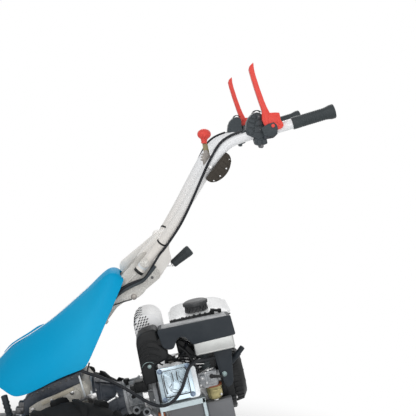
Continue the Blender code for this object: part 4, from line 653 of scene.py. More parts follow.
# Yoke with its far cast arm
yokeOutline = (arc(head["pivot"], 0.024, 150, 290, 12) + [(0.2402, 0.756), (0.2771, 0.8127), (0.27, 0.838)]
    + arc((0.25, 0.874), 0.021, -20, 145, 12))
cheek = plate(yokeOutline, -0.0332, -0.005, bevel=0.003, segments=3)
web = plate([(0.196, 0.8), (0.222, 0.806), (0.258, 0.868), (0.244, 0.884)], -0.006, 0.006, bevel=0.002)
yoke = joined(cheek, mirrorCopy(cheek), web)
farOutline = arc((0.148, 0.777), 0.026, 120, 300, 18) + arc((0.24, 0.857), 0.023, -40, 140, 18)
farArm = plate(farOutline, 0.0797, 0.102, bevel=0.006, segments=4)
farRim = plate([(0.148 + (x - 0.148) * 0.72, 0.777 + (z - 0.777) * 0.72) if x < 0.19
        else (0.24 + (x - 0.24) * 0.68, 0.857 + (z - 0.857) * 0.68) for x, z in farOutline], 0.0782, 0.08,
    bevel=0.0008)
crossBar = crossRod(0.25, 0.874, -0.084, 0.084, 0.0148, sides=40)
stay = crossRod(0.236, 0.874, 0.02, 0.09, 0.0138, sides=40)
yoke = joined(yoke, farArm, farRim, crossBar, stay)
onBars("handle_yoke_casting", yoke, whiteCasting, "handle_yoke")
lock = {"pinX": 0.258, "pinZ": 0.796, "way": Vector((0.77, 0, 0.638)), "reach": 0.068}
onBars("lock_pin", crossRod(lock["pinX"], lock["pinZ"], -0.0322, 0.0322, 0.003, sides=24, bevel=0.0006),
    brightSteel)

lockStart = Vector((lock["pinX"] + 0.023, 0, lock["pinZ"] - 0.0015))
lockWay = lock["way"].normalized()
lockEnd = lockStart + lock["way"] * lock["reach"]
across = Vector((-lockWay.z, 0, lockWay.x)) * 0.0062
lockPlate = plate(arc((lock["pinX"], lock["pinZ"]), 0.009, 60, 270, 16)
    + [((lockStart - across).x, (lockStart - across).z), ((lockStart + across).x, (lockStart + across).z)],
    -0.0036, 0.0036, bevel=0.0008)
lockNeck = rod(lockStart - lockWay * 0.006, lockStart + lockWay * 0.01, 0.0052, 0.0044, 24)
lockNut = rod(lockStart - lockWay * 0.0025, lockStart + lockWay * 0.0005, 0.0078, sides=6, bevel=0.0008)
addPiece("lock_lever_plate", [lockPlate, lockNeck, lockNut], "height_lock", brightSteel,
    "height_lock_lever")
gripLength = (lockEnd - lockStart).length
gripProfile = [(0.0, gripLength), (0.012, gripLength), (0.015, gripLength - 0.0016),
    (0.016, gripLength - 0.006), (0.0158, gripLength - 0.014)]
for k in range(9):
    at = gripLength - 0.017 - k * 0.0045
    size = 0.0157 - k * 0.00034
    gripProfile += [(size, at), (size - 0.0007, at - 0.0012), (size - 0.0007, at - 0.0024),
        (size - 0.0002, at - 0.0036)]
gripProfile += [(0.0122, 0.004), (0.011, 0.0006), (0.0, 0.0006)]
addPiece("lock_lever_grip", lathe(gripProfile, 40, start=lockStart, direction=lockWay), "height_lock",
    gripRubber, "height_lock_grip", sharp=50)
print("yoke and lock lever made")


# Handlebar tubes, the left one made and the right one mirrored
bars = {"radius": 0.014, "gripFrom": 0.592, "clipAt": 0.247, "farClipAt": 0.261}
barPoints = [(0.18, -0.062, 0.782), (0.216, -0.068, 0.829), (0.25, -0.084, 0.874), (0.3, -0.122, 0.956),
    (0.351, -0.168, 1.046), (0.384, -0.196, 1.102), (0.42, -0.218, 1.148), (0.466, -0.236, 1.17),
    (0.53, -0.25, 1.1863), (0.592, -0.256, 1.205), (0.646, -0.259, 1.2213), (0.7, -0.262, 1.2376)]
barRoute = smoothRoute(barPoints, 0.01)


def barAt(x):
    # the tube's middle and direction where it passes a given X
    for a, b in zip(barRoute, barRoute[1:]):
        if a.x <= x <= b.x:
            return a.lerp(b, (x - a.x) / (b.x - a.x)), (b - a).normalized()
    return barRoute[-1], (barRoute[-1] - barRoute[-2]).normalized()


addPair("bar_tube", sweep(barRoute, bars["radius"], 6), bothBars, barPaint, "handle_tube")


def barBand(x, length, radius, lip=0.0006):
    at, way = barAt(x)
    return rod(at - way * length / 2, at + way * length / 2, radius, sides=40, bevel=lip)


addPair("bar_lower_collar", barBand(0.1935, 0.016, 0.01465), bothBars, paleAlloy)
endAt, endWay = barAt(0.1801)
addPair("bar_end_plug", [
        rod(endAt - endWay * 0.003, endAt + endWay * 0.006, 0.015, sides=40, bevel=0.0015),
        rod(endAt - endWay * 0.0045, endAt, 0.0085, bevel=0.001)], bothBars, blackPlastic)
addPair("bar_ring_clips", barBand(bars["clipAt"], 0.0052, 0.0149, 0.0004), bothBars, blackPlastic)

at, way = barAt(0.376)
# a black disc on the far tube: painted shade standing for a bore
onBars("bar_far_bore", crossRod(at.x - 0.005, at.z - 0.006, -at.y - bars["radius"] - 0.0008,
        -at.y - bars["radius"] + 0.004, 0.0034, sides=20), blackPaint)
onBars("bar_far_ring", mirrorCopy(barBand(bars["farClipAt"], 0.0055, 0.0149, 0.0004)), blackPlastic)

# Rubber grips with shallow ribs
gripAt = barAt(bars["gripFrom"])[0]
gripWay = (barRoute[-1] - gripAt).normalized()
gripLong = (barRoute[-1] - gripAt).length + 0.006
profile = [(0.0, gripLong), (0.013, gripLong), (0.0176, gripLong - 0.001), (0.0195, gripLong - 0.0034),
    (0.0195, gripLong - 0.013), (0.0182, gripLong - 0.018), (0.0168, gripLong - 0.025)]
for k in range(12):
    at = gripLong - 0.0285 - k * 0.0058
    profile += [(0.0165, at), (0.0158, at - 0.0008), (0.0158, at - 0.0022), (0.0165, at - 0.003)]
profile += [(0.0165, 0.005), (0.0162, 0.004), (0.0165, 0.003), (0.0165, 0.0008), (0.0158, 0.0),
    (0.014, 0.0)]
addPair("rubber_grip", lathe(profile, 48, start=gripAt, direction=gripWay), bothBars, gripRubber,
    "grip", sharp=50)

# Control housings: blocks with grooves between them, clamped round the tube
shellOutline = [(0.47, 1.176), (0.467, 1.19), (0.469, 1.208), (0.474, 1.22), (0.483, 1.23), (0.494, 1.2345),
    (0.504, 1.2335), (0.51, 1.227), (0.512, 1.205), (0.517, 1.19), (0.519, 1.17), (0.5, 1.162)]
shell = plate(shellOutline, -0.271, -0.232, bevel=0.003, segments=3)
shellBlocks = [plate(line, -0.2738, -0.269, bevel=0.0014) for line in (
        [(0.4712, 1.196), (0.4722, 1.2075), (0.489, 1.2025), (0.488, 1.192)],
        [(0.473, 1.21), (0.4775, 1.2185), (0.491, 1.213), (0.4895, 1.205)],
        [(0.479, 1.221), (0.486, 1.229), (0.4935, 1.224), (0.4918, 1.216)],
        [(0.493, 1.231), (0.506, 1.23), (0.5085, 1.218), (0.4945, 1.215)],
        [(0.492, 1.212), (0.5085, 1.215), (0.5095, 1.202), (0.4905, 1.198)],
        [(0.49, 1.1945), (0.511, 1.1985), (0.5145, 1.185), (0.488, 1.18)],
        [(0.472, 1.192), (0.4865, 1.189), (0.485, 1.178), (0.474, 1.174)])]
clampLow = [
    plate([(0.488, 1.165), (0.493, 1.149), (0.506, 1.145), (0.525, 1.152), (0.521, 1.172)], -0.269, -0.232,
        bevel=0.003, segments=3),
    plate([(0.496, 1.16), (0.498, 1.148), (0.506, 1.145), (0.509, 1.162)], -0.271, -0.268, bevel=0.0012),
    plate([(0.512, 1.164), (0.511, 1.15), (0.522, 1.154), (0.519, 1.167)], -0.271, -0.268, bevel=0.0012)]
lug = crossRod(0.509, 1.145, -0.27, -0.231, 0.0052, sides=24, bevel=0.001)
cableBoss = joined(
    rod((0.47, -0.24, 1.183), (0.46, -0.238, 1.179), 0.0062, 0.0052, 24, 0.0008),
    rod((0.462, -0.2384, 1.1798), (0.459, -0.2378, 1.1786), 0.0068, sides=6, bevel=0.0006))
addPair("control_shell", [shell, *shellBlocks, *clampLow, lug, cableBoss], bothBars, greyPlastic,
    "control_housing", sharp=30)
addPair("control_screws", [
        panHead((0.5005, -0.2736, 1.2235), toNear, 0.0024, 0.001),
        panHead((0.5045, -0.2736, 1.189), toNear, 0.0024, 0.001),
        hexHead((0.509, -0.27, 1.145), toNear, 0.004, 0.0022)], bothBars, darkSteel)
addPair("control_wire", [wire([(0.483 + d, -0.248 - d, 1.228), (0.488 + d, -0.248 - d, 1.237),
                (0.498 + d, -0.25 - d, 1.24), (0.506 + d, -0.252 - d, 1.235)], 0.004, 0.0011, 2)
        for d in (0.0, 0.003)], bothBars, cableSheath)

# Lever brackets and the red hand levers
leverX, leverY, leverZ = 0.537, -0.2835, 1.199
holderOutline = ([(0.513, 1.162), (0.54, 1.167), (0.551, 1.178)]
    + arc((leverX, leverZ), 0.012, -20, 130, 10) + [(0.516, 1.208)])
addPair("lever_holder", [
        plate(holderOutline, -0.2752, -0.23, bevel=0.0024, segments=3),
        crossRod(leverX, leverZ, -0.27, -0.2955, 0.0035, sides=24, bevel=0.0006),
        crossRod(0.526, 1.176, -0.2757, -0.2735, 0.0045, sides=24, bevel=0.0006)], bothBars, darkCasting,
    "lever_bracket")
addPair("lever_holder_cheek", [
        plate([(0.5037, 1.1929), (0.5135, 1.199), (0.529, 1.206), (0.537, 1.208), (0.545, 1.202),
                (0.548, 1.193), (0.547, 1.1788), (0.5356, 1.1715), (0.5117, 1.1728)], -0.295, -0.2914,
            bevel=0.0012),
        crossRod(0.52, 1.179, -0.292, -0.27, 0.005, sides=20),
        crossRod(0.513, 1.183, -0.2965, -0.294, 0.004, sides=24, bevel=0.0008)], bothBars, greyPlastic)

bladeOutline = [(0.513, 1.2195), (0.5085, 1.2325), (0.505, 1.244), (0.499, 1.26), (0.4935, 1.276),
    (0.4872, 1.294), (0.4815, 1.312), (0.4763, 1.329), (0.472, 1.345), (0.4745, 1.3555), (0.483, 1.3638),
    (0.4838, 1.356), (0.485, 1.346), (0.489, 1.33), (0.494, 1.315), (0.5003, 1.296), (0.507, 1.278),
    (0.5127, 1.2625), (0.519, 1.248), (0.527, 1.233)]
blade = plate(bladeOutline, leverY - 0.006, leverY + 0.016, bevel=0.002, segments=3)
rootOutline = [(0.515, 1.195), (0.507, 1.215), (0.5065, 1.23), (0.5072, 1.242), (0.514, 1.244),
    (0.527, 1.233), (0.54, 1.2338), (0.5525, 1.2335), (0.5545, 1.224), (0.5563, 1.2139), (0.562, 1.208),
    (0.5643, 1.1995), (0.56, 1.1925), (0.5527, 1.1895), (0.537, 1.185), (0.522, 1.186)]
root = plate(rootOutline, leverY - 0.0052, leverY + 0.0062, bevel=0.0016)
webs = [plate(line, leverY - 0.0066, leverY - 0.004, bevel=0.0006)
    for line in ([(0.5165, 1.196), (0.512, 1.226), (0.516, 1.24), (0.524, 1.232), (0.5225, 1.19)],
        [(0.542, 1.211), (0.546, 1.214), (0.556, 1.207), (0.563, 1.204), (0.56, 1.201), (0.554, 1.202)])]
hub = crossRod(leverX, leverZ, leverY - 0.0068, leverY + 0.007, 0.0098, bevel=0.001)
lever = joined(blade, root, *webs, hub)
addPair("lever_blade", lever, ("left_lever", "right_lever"), redPlastic, "hand_lever",
    sharp=40)
addPair("lever_pin_end", crossRod(0.535, 1.199, -0.2946, -0.2972, 0.0048, sides=24, bevel=0.0008), bothBars,
    redPlastic)
print("controls made")


# Gear lever: notched gate, bronzed stem and red knob
gear = {"x": 0.3765, "z": 1.088, "stem": 0.07, "knobR": 0.019}
gearY = barAt(gear["x"])[0].y + bars["radius"]
gx, gz = gear["x"], gear["z"]
gateOutline = arc((gx, gz), 0.013, 200, 340, 12) + [(gx + 0.004, gz + 0.03), (gx - 0.006, gz + 0.047),
    (gx - 0.016, gz + 0.044), (gx - 0.014, gz + 0.038)]
for k in range(3):
    step = (gx - 0.015 - k * 0.001, gz + 0.036 - k * 0.0075)
    gateOutline += [(step[0] - 0.007, step[1] - 0.001), (step[0] - 0.0066, step[1] - 0.0042),
        (step[0] - 0.001, step[1] - 0.0052)]
gateOutline += [(gx - 0.018, gz + 0.012)]
gate = plate(gateOutline, gearY + 0.01, gearY + 0.013, bevel=0.0005)
bolt = joined(
    crossRod(gx, gz, gearY - 0.036, gearY + 0.02, 0.0032, sides=24, bevel=0.0004),
    hexHead((gx, gearY - 0.029, gz), toNear, 0.0046, 0.006))
onBars("gear_gate_plate", gate, sootSteel, "gear_lever_gate")
onBars("gear_pivot_bolt", bolt, brightSteel)
onBars("gear_pivot_washer", crossRod(gx, gz, gearY - 0.03, gearY - 0.027, 0.0068, bevel=0.0006), sootSteel)
stemY = gearY + 0.0133
stem = plate(arc((gx, gz), 0.009, 170, 370, 14)
    + [(gx - 0.006, gz + gear["stem"]), (gx - 0.0195, gz + gear["stem"])], stemY, stemY + 0.005,
    bevel=0.0007)
addPiece("gear_stem_flat", [stem, hexHead((gx, stemY + 0.005, gz), toFar, 0.0058, 0.0018)], "gear_lever",
    brownSteel, "gear_lever_stem")
knobBase = gz + gear["stem"] - 0.006
knobMid = knobBase + 0.01 + gear["knobR"] * 0.8
knobProfile = [(0.0, knobMid + gear["knobR"] * 0.8)]
knobProfile += [
    (gear["knobR"] * math.cos(math.radians(a)), knobMid + gear["knobR"] * 0.8 * math.sin(math.radians(a)))
    for a in range(82, -44, -9)]
knobProfile += [(0.0105, knobBase + 0.0125), (0.009, knobBase + 0.0105), (0.0088, knobBase + 0.007),
    (0.008, knobBase + 0.0064), (0.0082, knobBase + 0.001), (0.0076, knobBase), (0.0, knobBase)]
addPiece("gear_knob_ball", lathe(knobProfile, 48, start=(gx - 0.0135, stemY + 0.0025, 0)), "gear_lever",
    redPlastic, "gear_lever_knob", sharp=50)

# Knee pad: a D of moulded rubber with a raised middle, ribs, and four bright rivets on each face
padFrom, padTo = Vector((0.3716, 1.0495)), Vector((0.4255, 1.1234))
padWay = (padTo - padFrom).normalized()
padOut = Vector((padWay.y, -padWay.x))
padLong = (padTo - padFrom).length


def padLine(shrink):
    line = [padFrom + padWay * shrink - padOut * (0.01 - shrink)]
    for k in range(17):
        t = k / 16
        swell = (0.0275 - shrink) * max(0.0, math.sin(math.pi * t)) ** 0.5
        line.append(padFrom + padWay * (shrink + (padLong - 2 * shrink) * t) + padOut * max(0.004, swell))
    return [tuple(p) for p in line + [padTo - padWay * shrink - padOut * (0.01 - shrink)]]


padY = barAt(0.395)[0].y
pad = joined(
    plate(padLine(0.0), padY - 0.0165, padY + 0.0165, bevel=0.0045, segments=3),
    plate(padLine(0.0045), padY - 0.019, padY + 0.019, bevel=0.0012))
padRibs = []
for k in range(6):
    along = padFrom + padWay * (0.012 + 0.0135 * k)
    for side in (-1, 1):
        padRibs.append(rod((along.x, padY + side * 0.0188, along.y),
                (along.x + padOut.x * 0.017, padY + side * 0.0188, along.y + padOut.y * 0.017), 0.0016,
                sides=10))
pad = joined(pad, *padRibs)
onBars("knee_pad_rubber", pad, padRubber, "knee_pad")
rivets = []
for along, out in ((0.01, 0.0095), (0.03, 0.016), (0.056, 0.0175), (0.08, 0.0095)):
    at = padFrom + padWay * along + padOut * out
    rivets += [panHead((at.x, padY + side * 0.0189, at.y), (0, side, 0), 0.0024, 0.0012)
        for side in (-1, 1)]
onBars("knee_pad_rivets", rivets, brightSteel)
print("gear lever and knee pad made")


# Cables: two cross the handlebar's pivot and are left unattached in place; the others ride a body.
cableR = 0.0035
lowerR = 0.0046


def cableBeside(lowestX):
    points = []
    for point in reversed(smoothRoute(barPoints, 0.02)):
        if not lowestX < point.x < 0.466:
            continue
        along = barAt(point.x)[1]
        share = (point.x - 0.222) / (0.466 - 0.222)
        lean = math.radians(-65 + 130 * min(1.0, max(0.0, (share - 0.25) / 0.55)))
        out = Vector((0, -1, 0))
        out = (out - along * out.dot(along)).normalized()
        up = Vector((-along.z, 0, along.x)).normalized()
        points.append(point + (out * math.cos(lean) + up * math.sin(lean))
            * (bars["radius"] + cableR + 0.0007))
    return points


leftLine = cableBeside(0.222)
bendLine = leftLine + [Vector((0.205, -0.074, 0.775)), Vector((0.192, -0.062, 0.76)),
    Vector((0.168, -0.0545, 0.75)), Vector((0.14, -0.0515, 0.736)), Vector((0.112, -0.051, 0.716)),
    Vector((0.092, -0.054, 0.69))]
pivotBend = ("chassis", "handlebar", (axleX + 0.168, -0.055, 0.75), (axleX + 0.226, -0.08, 0.8))
addPiece("left_control_cable", wire(bendLine, 0.008, cableR, 3), "", cableSheath,
    "left_hand_cable", bend=pivotBend)
rightLine = [Vector((p.x, -p.y, p.z)) for p in cableBeside(0.268)]
onBars("right_control_cable", wire(rightLine, 0.008, cableR, 3), cableSheath,
    "right_hand_cable")
lowerLine = [(0.192, -0.0502, 0.757), (0.165, -0.0502, 0.748), (0.14, -0.0502, 0.736),
    (0.112, -0.0502, 0.716), (0.088, -0.054, 0.68), (0.062, -0.064, 0.61), (0.03, -0.082, 0.55),
    (0.008, -0.1, 0.516), (0.02, -0.113, 0.506), (0.059, -0.12, 0.494), (0.098, -0.125, 0.48),
    (0.137, -0.135, 0.462), (0.176, -0.16, 0.4446), (0.2095, -0.19, 0.433), (0.2376, -0.215, 0.4312),
    (0.2633, -0.228, 0.441), (0.2843, -0.235, 0.4631), (0.2993, -0.238, 0.4924), (0.3079, -0.236, 0.5204),
    (0.318, -0.222, 0.5405), (0.333, -0.2, 0.5475), (0.35, -0.18, 0.548), (0.372, -0.158, 0.5455),
    (0.396, -0.1335, 0.5445)]
onChassis("engine_control_cable", wire(lowerLine, 0.008, lowerR, 4), cableSheath,
    "lower_cable")
secondLine = [(0.228, -0.083, 0.8), (0.206, -0.073, 0.771), (0.19, -0.062, 0.753), (0.166, -0.0555, 0.741),
    (0.14, -0.053, 0.727), (0.114, -0.0525, 0.707), (0.096, -0.056, 0.68)]
addPiece("gear_control_cable", wire(secondLine, 0.008, 0.0044, 3), "", greyPlastic,
    bend=pivotBend)
print("cables made")


# Engine block and cylinder, in the engine's tilted frame: x to the rear along the crankshaft, z up
cylinder = {"x": -0.056, "rise": 18, "finHalf": 0.047, "finPitch": 0.0125, "finCount": 7}
cylinderFrame = engineFrame @ shift(cylinder["x"]) @ turn(-cylinder["rise"], "X") @ turn(90, "X")


def roundedPlate(halfX, halfY, corner, low, high, bevel=0.0, middle=(0, 0)):
    cx, cy = middle
    outline = []
    for sx, sy, start in ((1, 1, 0), (-1, 1, 90), (-1, -1, 180), (1, -1, 270)):
        outline += arc((cx + sx * (halfX - corner), cy + sy * (halfY - corner)), corner, start, start + 90,
            6)
    return plate(outline, low, high, "XY", bevel)


case = block((-0.115, 0.062), (-0.085, 0.1), (-0.106, 0.075), 0.01, 3)
caseRibs = [block((x, x + 0.005), (-0.0868, -0.084), (-0.098, 0.03), 0.0012) for x in (-0.105, 0.03, 0.047)]
caseSide = block((-0.1, 0.05), (0.099, 0.106), (-0.09, 0.06), 0.003)
sideBolts = [hexHead((x, 0.106, z), toFar, 0.0055, 0.005) for x, z in ((-0.09, 0.05), (-0.025, 0.052),
        (0.04, 0.05), (-0.09, -0.08), (-0.025, -0.082), (0.04, -0.08))]
filler = joined(
    crossRod(0.046, -0.082, -0.086, -0.098, 0.0095, bevel=0.001),
    crossRod(0.046, -0.082, -0.097, -0.104, 0.0065, sides=6, bevel=0.0008))
onEngine("crankcase_block", [case, *caseRibs, caseSide], castAlloy, "crankcase")
onEngine("crankcase_bolts", [filler, *sideBolts], brightSteel)

fins = []
for k in range(cylinder["finCount"]):
    top = 0.172 - k * cylinder["finPitch"]
    fins.append(roundedPlate(cylinder["finHalf"], cylinder["finHalf"], 0.012, top - 0.004, top, 0.0008))
barrel = joined(roundedPlate(0.036, 0.036, 0.008, 0.06, 0.176), *fins)
addPiece("cylinder_barrel", [barrel, roundedPlate(0.0455, 0.0455, 0.008, 0.174, 0.1822, 0.0012)], "chassis",
    castAlloy, place=cylinderFrame)
print("block and cylinder made")


# Valve cover: flange, gasket, creased dome and four bolts
cover = {"flangeTop": 0.1884, "bolt": 0.0395}
gasket = joined(
    roundedPlate(0.047, 0.0475, 0.01, 0.1822, 0.1838, 0.0003),
    roundedPlate(0.018, 0.044, 0.01, 0.18, 0.183, 0.0006, (0.043, -0.006)))
addPiece("valve_cover_gasket", gasket, "chassis", paleAlloy, place=cylinderFrame)
flangeOutline = []
for sx, sy, start in ((1, 1, -15), (-1, 1, 75), (-1, -1, 165), (1, -1, 255)):
    at = (sx * cover["bolt"], sy * cover["bolt"])
    flangeOutline += arc(at, 0.0085, start, start + 120, 9)
flange = plate(flangeOutline, 0.1838, cover["flangeTop"], "XY", 0.0008)
domeOutline = []
for sx, sy, start in ((1, 1, 0), (-1, 1, 90), (-1, -1, 180), (1, -1, 270)):
    # each corner is hollowed round its bolt
    turned = arc((sx * cover["bolt"], sy * cover["bolt"]), 0.0105, start + 270, start + 180, 7)
    domeOutline += [(min(0.0344, max(-0.0344, x)), min(0.0361, max(-0.0335, y))) for x, y in turned]
dome = plate(domeOutline, 0.188, 0.206, "XY", 0.003, 3)
crown = plate([(x * 0.8, y * 0.8 + 0.0005) for x, y in domeOutline], 0.205, 0.2095, "XY", 0.0022, 3)
creases = []
for side in (-1, 1):
    creases.append(wire([(side * 0.01, 0.029, 0.2088), (side * 0.0092, 0.01, 0.2098),
                (side * 0.01, -0.005, 0.2098), (side * 0.015, -0.019, 0.2088)], 0.003, 0.0022, 3))
    creases.append(wire([(side * 0.024, 0.02, 0.208), (side * 0.0235, 0.0, 0.2088),
                (side * 0.018, -0.012, 0.2088), (0, -0.021, 0.209)], 0.003, 0.0017, 3))
rim = sweep([(x * 0.93, y * 0.93, 0.2052) for x, y in domeOutline + domeOutline[:1]], 0.0016, 2, caps=False)
addPiece("valve_cover_shell", [flange, dome, crown, rim, *creases], "chassis", coverAlloy,
    "valve_cover", sharp=50, place=cylinderFrame)
# a black ring round the dome's foot and black lines beside the creases: painted shade
coverPaintedShade = sweep([(x * 1.03, y * 1.03, 0.189) for x, y in domeOutline + domeOutline[:1]], 0.0016, 2,
    caps=False)
creasePaintedShade = [wire(line, 0.003, size, 2) for line, size in (
        ([(-0.006, 0.03, 0.2095), (-0.0055, 0.015, 0.21), (-0.007, 0.004, 0.21), (-0.021, -0.011, 0.209)],
            0.0012),
        ([(0.007, 0.03, 0.2095), (0.006, 0.015, 0.21), (0.008, 0.004, 0.21), (0.022, -0.008, 0.209)],
            0.0014),
        ([(0.012, 0.029, 0.2095), (0.0115, 0.016, 0.21), (0.02, 0.002, 0.2095)], 0.0009),
        ([(-0.02, -0.015, 0.209), (-0.012, -0.024, 0.209), (0.002, -0.027, 0.209), (0.016, -0.023, 0.209)],
            0.001),
        ([(-0.031, 0.03, 0.2045), (-0.0315, 0.0, 0.205), (-0.029, -0.026, 0.2045)], 0.0022),
        ([(-0.024, -0.03, 0.205), (0.0, -0.0322, 0.205), (0.024, -0.03, 0.205)], 0.0014),
        ([(0.0275, 0.0, 0.206), (0.024, -0.012, 0.208), (0.016, -0.019, 0.209)], 0.0012))]
coverPaintedShade = joined(coverPaintedShade, *creasePaintedShade)
addPiece("valve_cover_painted_shade", coverPaintedShade, "chassis", blackPaint, place=cylinderFrame)
addPiece("valve_cover_bolts", [
        hexHead((sx * cover["bolt"], sy * cover["bolt"], cover["flangeTop"]), toTop, 0.0058, 0.0062)
        for sx in (-1, 1) for sy in (-1, 1)], "chassis", blueSteel, place=cylinderFrame)
print("valve cover made")


# Fan housing and recoil starter cover
fanWall = lathe([(0.06, 0.0624), (0.098, 0.0624), (0.098, 0.1), (0.0965, 0.104), (0.0935, 0.1045),
        (0.075, 0.1045), (0.074, 0.1), (0.074, 0.085), (0.06, 0.085)], 64, closed=True, direction=toRear)
lugSpots = circle(6, 0.0975, 30)
lugs = [rod((0.09, y, z), (0.1048, y, z), 0.0075, sides=24, bevel=0.001) for y, z in lugSpots]
seams = [lathe([(0.0975, x), (0.0992, x + 0.001), (0.0992, x + 0.003), (0.0975, x + 0.004)], 64,
        direction=toRear) for x in (0.07, 0.082)]
onEngine("fan_housing_shell", [fanWall, *lugs, *seams], blackPlastic, "fan_housing")
onEngine("fan_housing_bolts", [hexHead((0.1048, y, z), toRear, 0.0048, 0.004) for y, z in lugSpots],
    brightSteel)

recoil = {"ribs": 30, "vanes": 10}
recoilShell = lathe([(0.07, 0.1046), (0.0805, 0.1046), (0.081, 0.108), (0.08, 0.125), (0.077, 0.132),
        (0.064, 0.1405), (0.06, 0.143), (0.056, 0.1432), (0.05, 0.1405), (0.025, 0.1405), (0.0215, 0.1445),
        (0.0185, 0.1448), (0.018, 0.13), (0.056, 0.129), (0.07, 0.12)], 72, closed=True, direction=toRear)
slat = block((0.107, 0.1265), (-0.003, 0.003), (0.0795, 0.084), 0.0008, 1)
bmesh.ops.translate(slat, vec=(0.0045, 0, -0.0035), verts=[v for v in slat.verts if v.co.x > 0.117])
louvres = around(recoil["ribs"], "X", slat)
vanes = around(recoil["vanes"], "X", block((0.1395, 0.144), (-0.0028, 0.0028), (0.026, 0.056), 0.0008, 1))
onEngine("recoil_cover_shell", [recoilShell, *louvres, *vanes], blackPlastic,
    "recoil_cover", sharp=40)
# black blocks between the vanes: painted shade standing for the air openings
onEngine("recoil_air_slots",
    around(recoil["vanes"], "X", block((0.133, 0.1409), (-0.0036, 0.0036), (0.03, 0.052)), 18), voidBlack)
screen = lathe([(0.0035, 0.1404), (0.0215, 0.1404), (0.0215, 0.1412), (0.0035, 0.1412)], 40, closed=True,
    direction=toRear)
onEngine("recoil_centre_plate", [screen, panHead((0.141, 0, 0), toRear, 0.008, 0.003)], darkSteel)

pull = Vector((0.351, -0.902, 0.2505)).normalized()
gripMiddle = Vector((0.131, -0.098, 0.077))
gripHalf = Vector((0.0215, 0, 0.019))
onEngine("starter_pull_grip", [
        rod(gripMiddle - gripHalf, gripMiddle + gripHalf, 0.0078, bevel=0.0026),
        rod(gripMiddle - gripHalf * 0.3, gripMiddle + gripHalf * 0.3, 0.0092, bevel=0.0016),
        rod(gripMiddle - pull * 0.0215, gripMiddle, 0.0042, 0.0062, 24)], slatePlastic,
    "starter_grip", body="starter")
guide = rod(gripMiddle - pull * 0.03, gripMiddle - pull * 0.0218, 0.0085, bevel=0.001)
onEngine("starter_rope_guide", guide, blackPlastic)
print("fan housing and starter made")


# Fuel tank, its bracket and cap
tank = {"x": (-0.034, 0.136), "y": (-0.078, 0.12), "neck": (0.046, -0.026)}


def tankRing(bm, grow, corner, z):
    # one level of the tank: a rounded rectangle
    (x0, x1), (y0, y1) = tank["x"], tank["y"]
    ring = []
    for cx, cy, start in ((x1, y1, 0), (x0, y1, 90), (x0, y0, 180), (x1, y0, 270)):
        sx = 1 if cx == x1 else -1
        sy = 1 if cy == y1 else -1
        ring += arc((cx - sx * corner + sx * grow, cy - sy * corner + sy * grow), corner, start, start + 90,
            8)
    return [bm.verts.new((x, y, z)) for x, y in ring]


tankBm = bmesh.new()
levels = [(-0.016, 0.02, 0.135), (-0.006, 0.024, 0.1385), (0.0, 0.026, 0.147), (0.0, 0.026, 0.203),
    (-0.0008, 0.026, 0.209), (-0.0035, 0.027, 0.2145), (-0.0085, 0.027, 0.219), (-0.016, 0.026, 0.2228),
    (-0.027, 0.024, 0.2262), (-0.04, 0.02, 0.2285), (-0.056, 0.014, 0.23)]
closedLoft(tankBm, [tankRing(tankBm, *level) for level in levels])
for v in tankBm.verts:
    rise = max(0.0, v.co.z - 0.203)
    v.co.z -= rise * (0.22 + (0.06 - v.co.y) * 3.2)
    v.co.x -= max(0.0, v.co.x - 0.06) * rise * 10
bmesh.ops.recalc_face_normals(tankBm, faces=tankBm.faces)
seamPlate = bmesh.new()
closedLoft(seamPlate, [tankRing(seamPlate, *level) for level in ((0.0045, 0.028, 0.1972),
            (0.0055, 0.029, 0.1986), (0.0055, 0.029, 0.2014), (0.0045, 0.028, 0.2028))])
bmesh.ops.recalc_face_normals(seamPlate, faces=seamPlate.faces)
onEngine("fuel_tank_shell", [tankBm, seamPlate], tankWhite, "fuel_tank", sharp=50)
neckX, neckY = tank["neck"]
onEngine("fuel_tank_neck", lathe([(0.0235, 0.196), (0.0252, 0.196), (0.0252, 0.24), (0.0235, 0.24)], 48,
        closed=True, start=(neckX, neckY, 0)), tankWhite)
# a black beaded band along the tank's seam flange: painted shade under its lip
tankSeamShadeBeads = []
for k in range(13):
    x = -0.012 + k * 0.0105
    tankSeamShadeBeads.append(rod((x, -0.0835, 0.1975), (x + 0.003, -0.0835, 0.2022), 0.0026 + 0.0006 * (k % 3),
            sides=12))
tankSeamShadeStrip = wire([(-0.03, -0.0805, 0.195), (0.0, -0.0838, 0.1955), (0.06, -0.084, 0.1955),
        (0.118, -0.0838, 0.1955), (0.138, -0.076, 0.1955)], 0.01, 0.002, 2)
onEngine("fuel_tank_seam_shade", [tankSeamShadeStrip, *tankSeamShadeBeads], blackPlastic)

bracketSheet = joined(
    *[block((-0.022, 0.05), y, z, 0.0008) for y, z in (((-0.04, -0.037), (0.0753, 0.1347)),
            ((0.067, 0.07), (0.0753, 0.1347)), ((-0.04, 0.07), (0.1317, 0.1347)))],
    block((-0.028, 0.056), (-0.044, 0.074), (0.0753, 0.0783), 0.001))
webs = [plate([(x, 0.078), (x + 0.018, 0.078), (x, 0.12)], -0.0425, -0.04, bevel=0.0004)
    for x in (-0.018, 0.02)]
onEngine("tank_bracket_sheet", [bracketSheet, *webs], blackPaint, "tank_bracket")

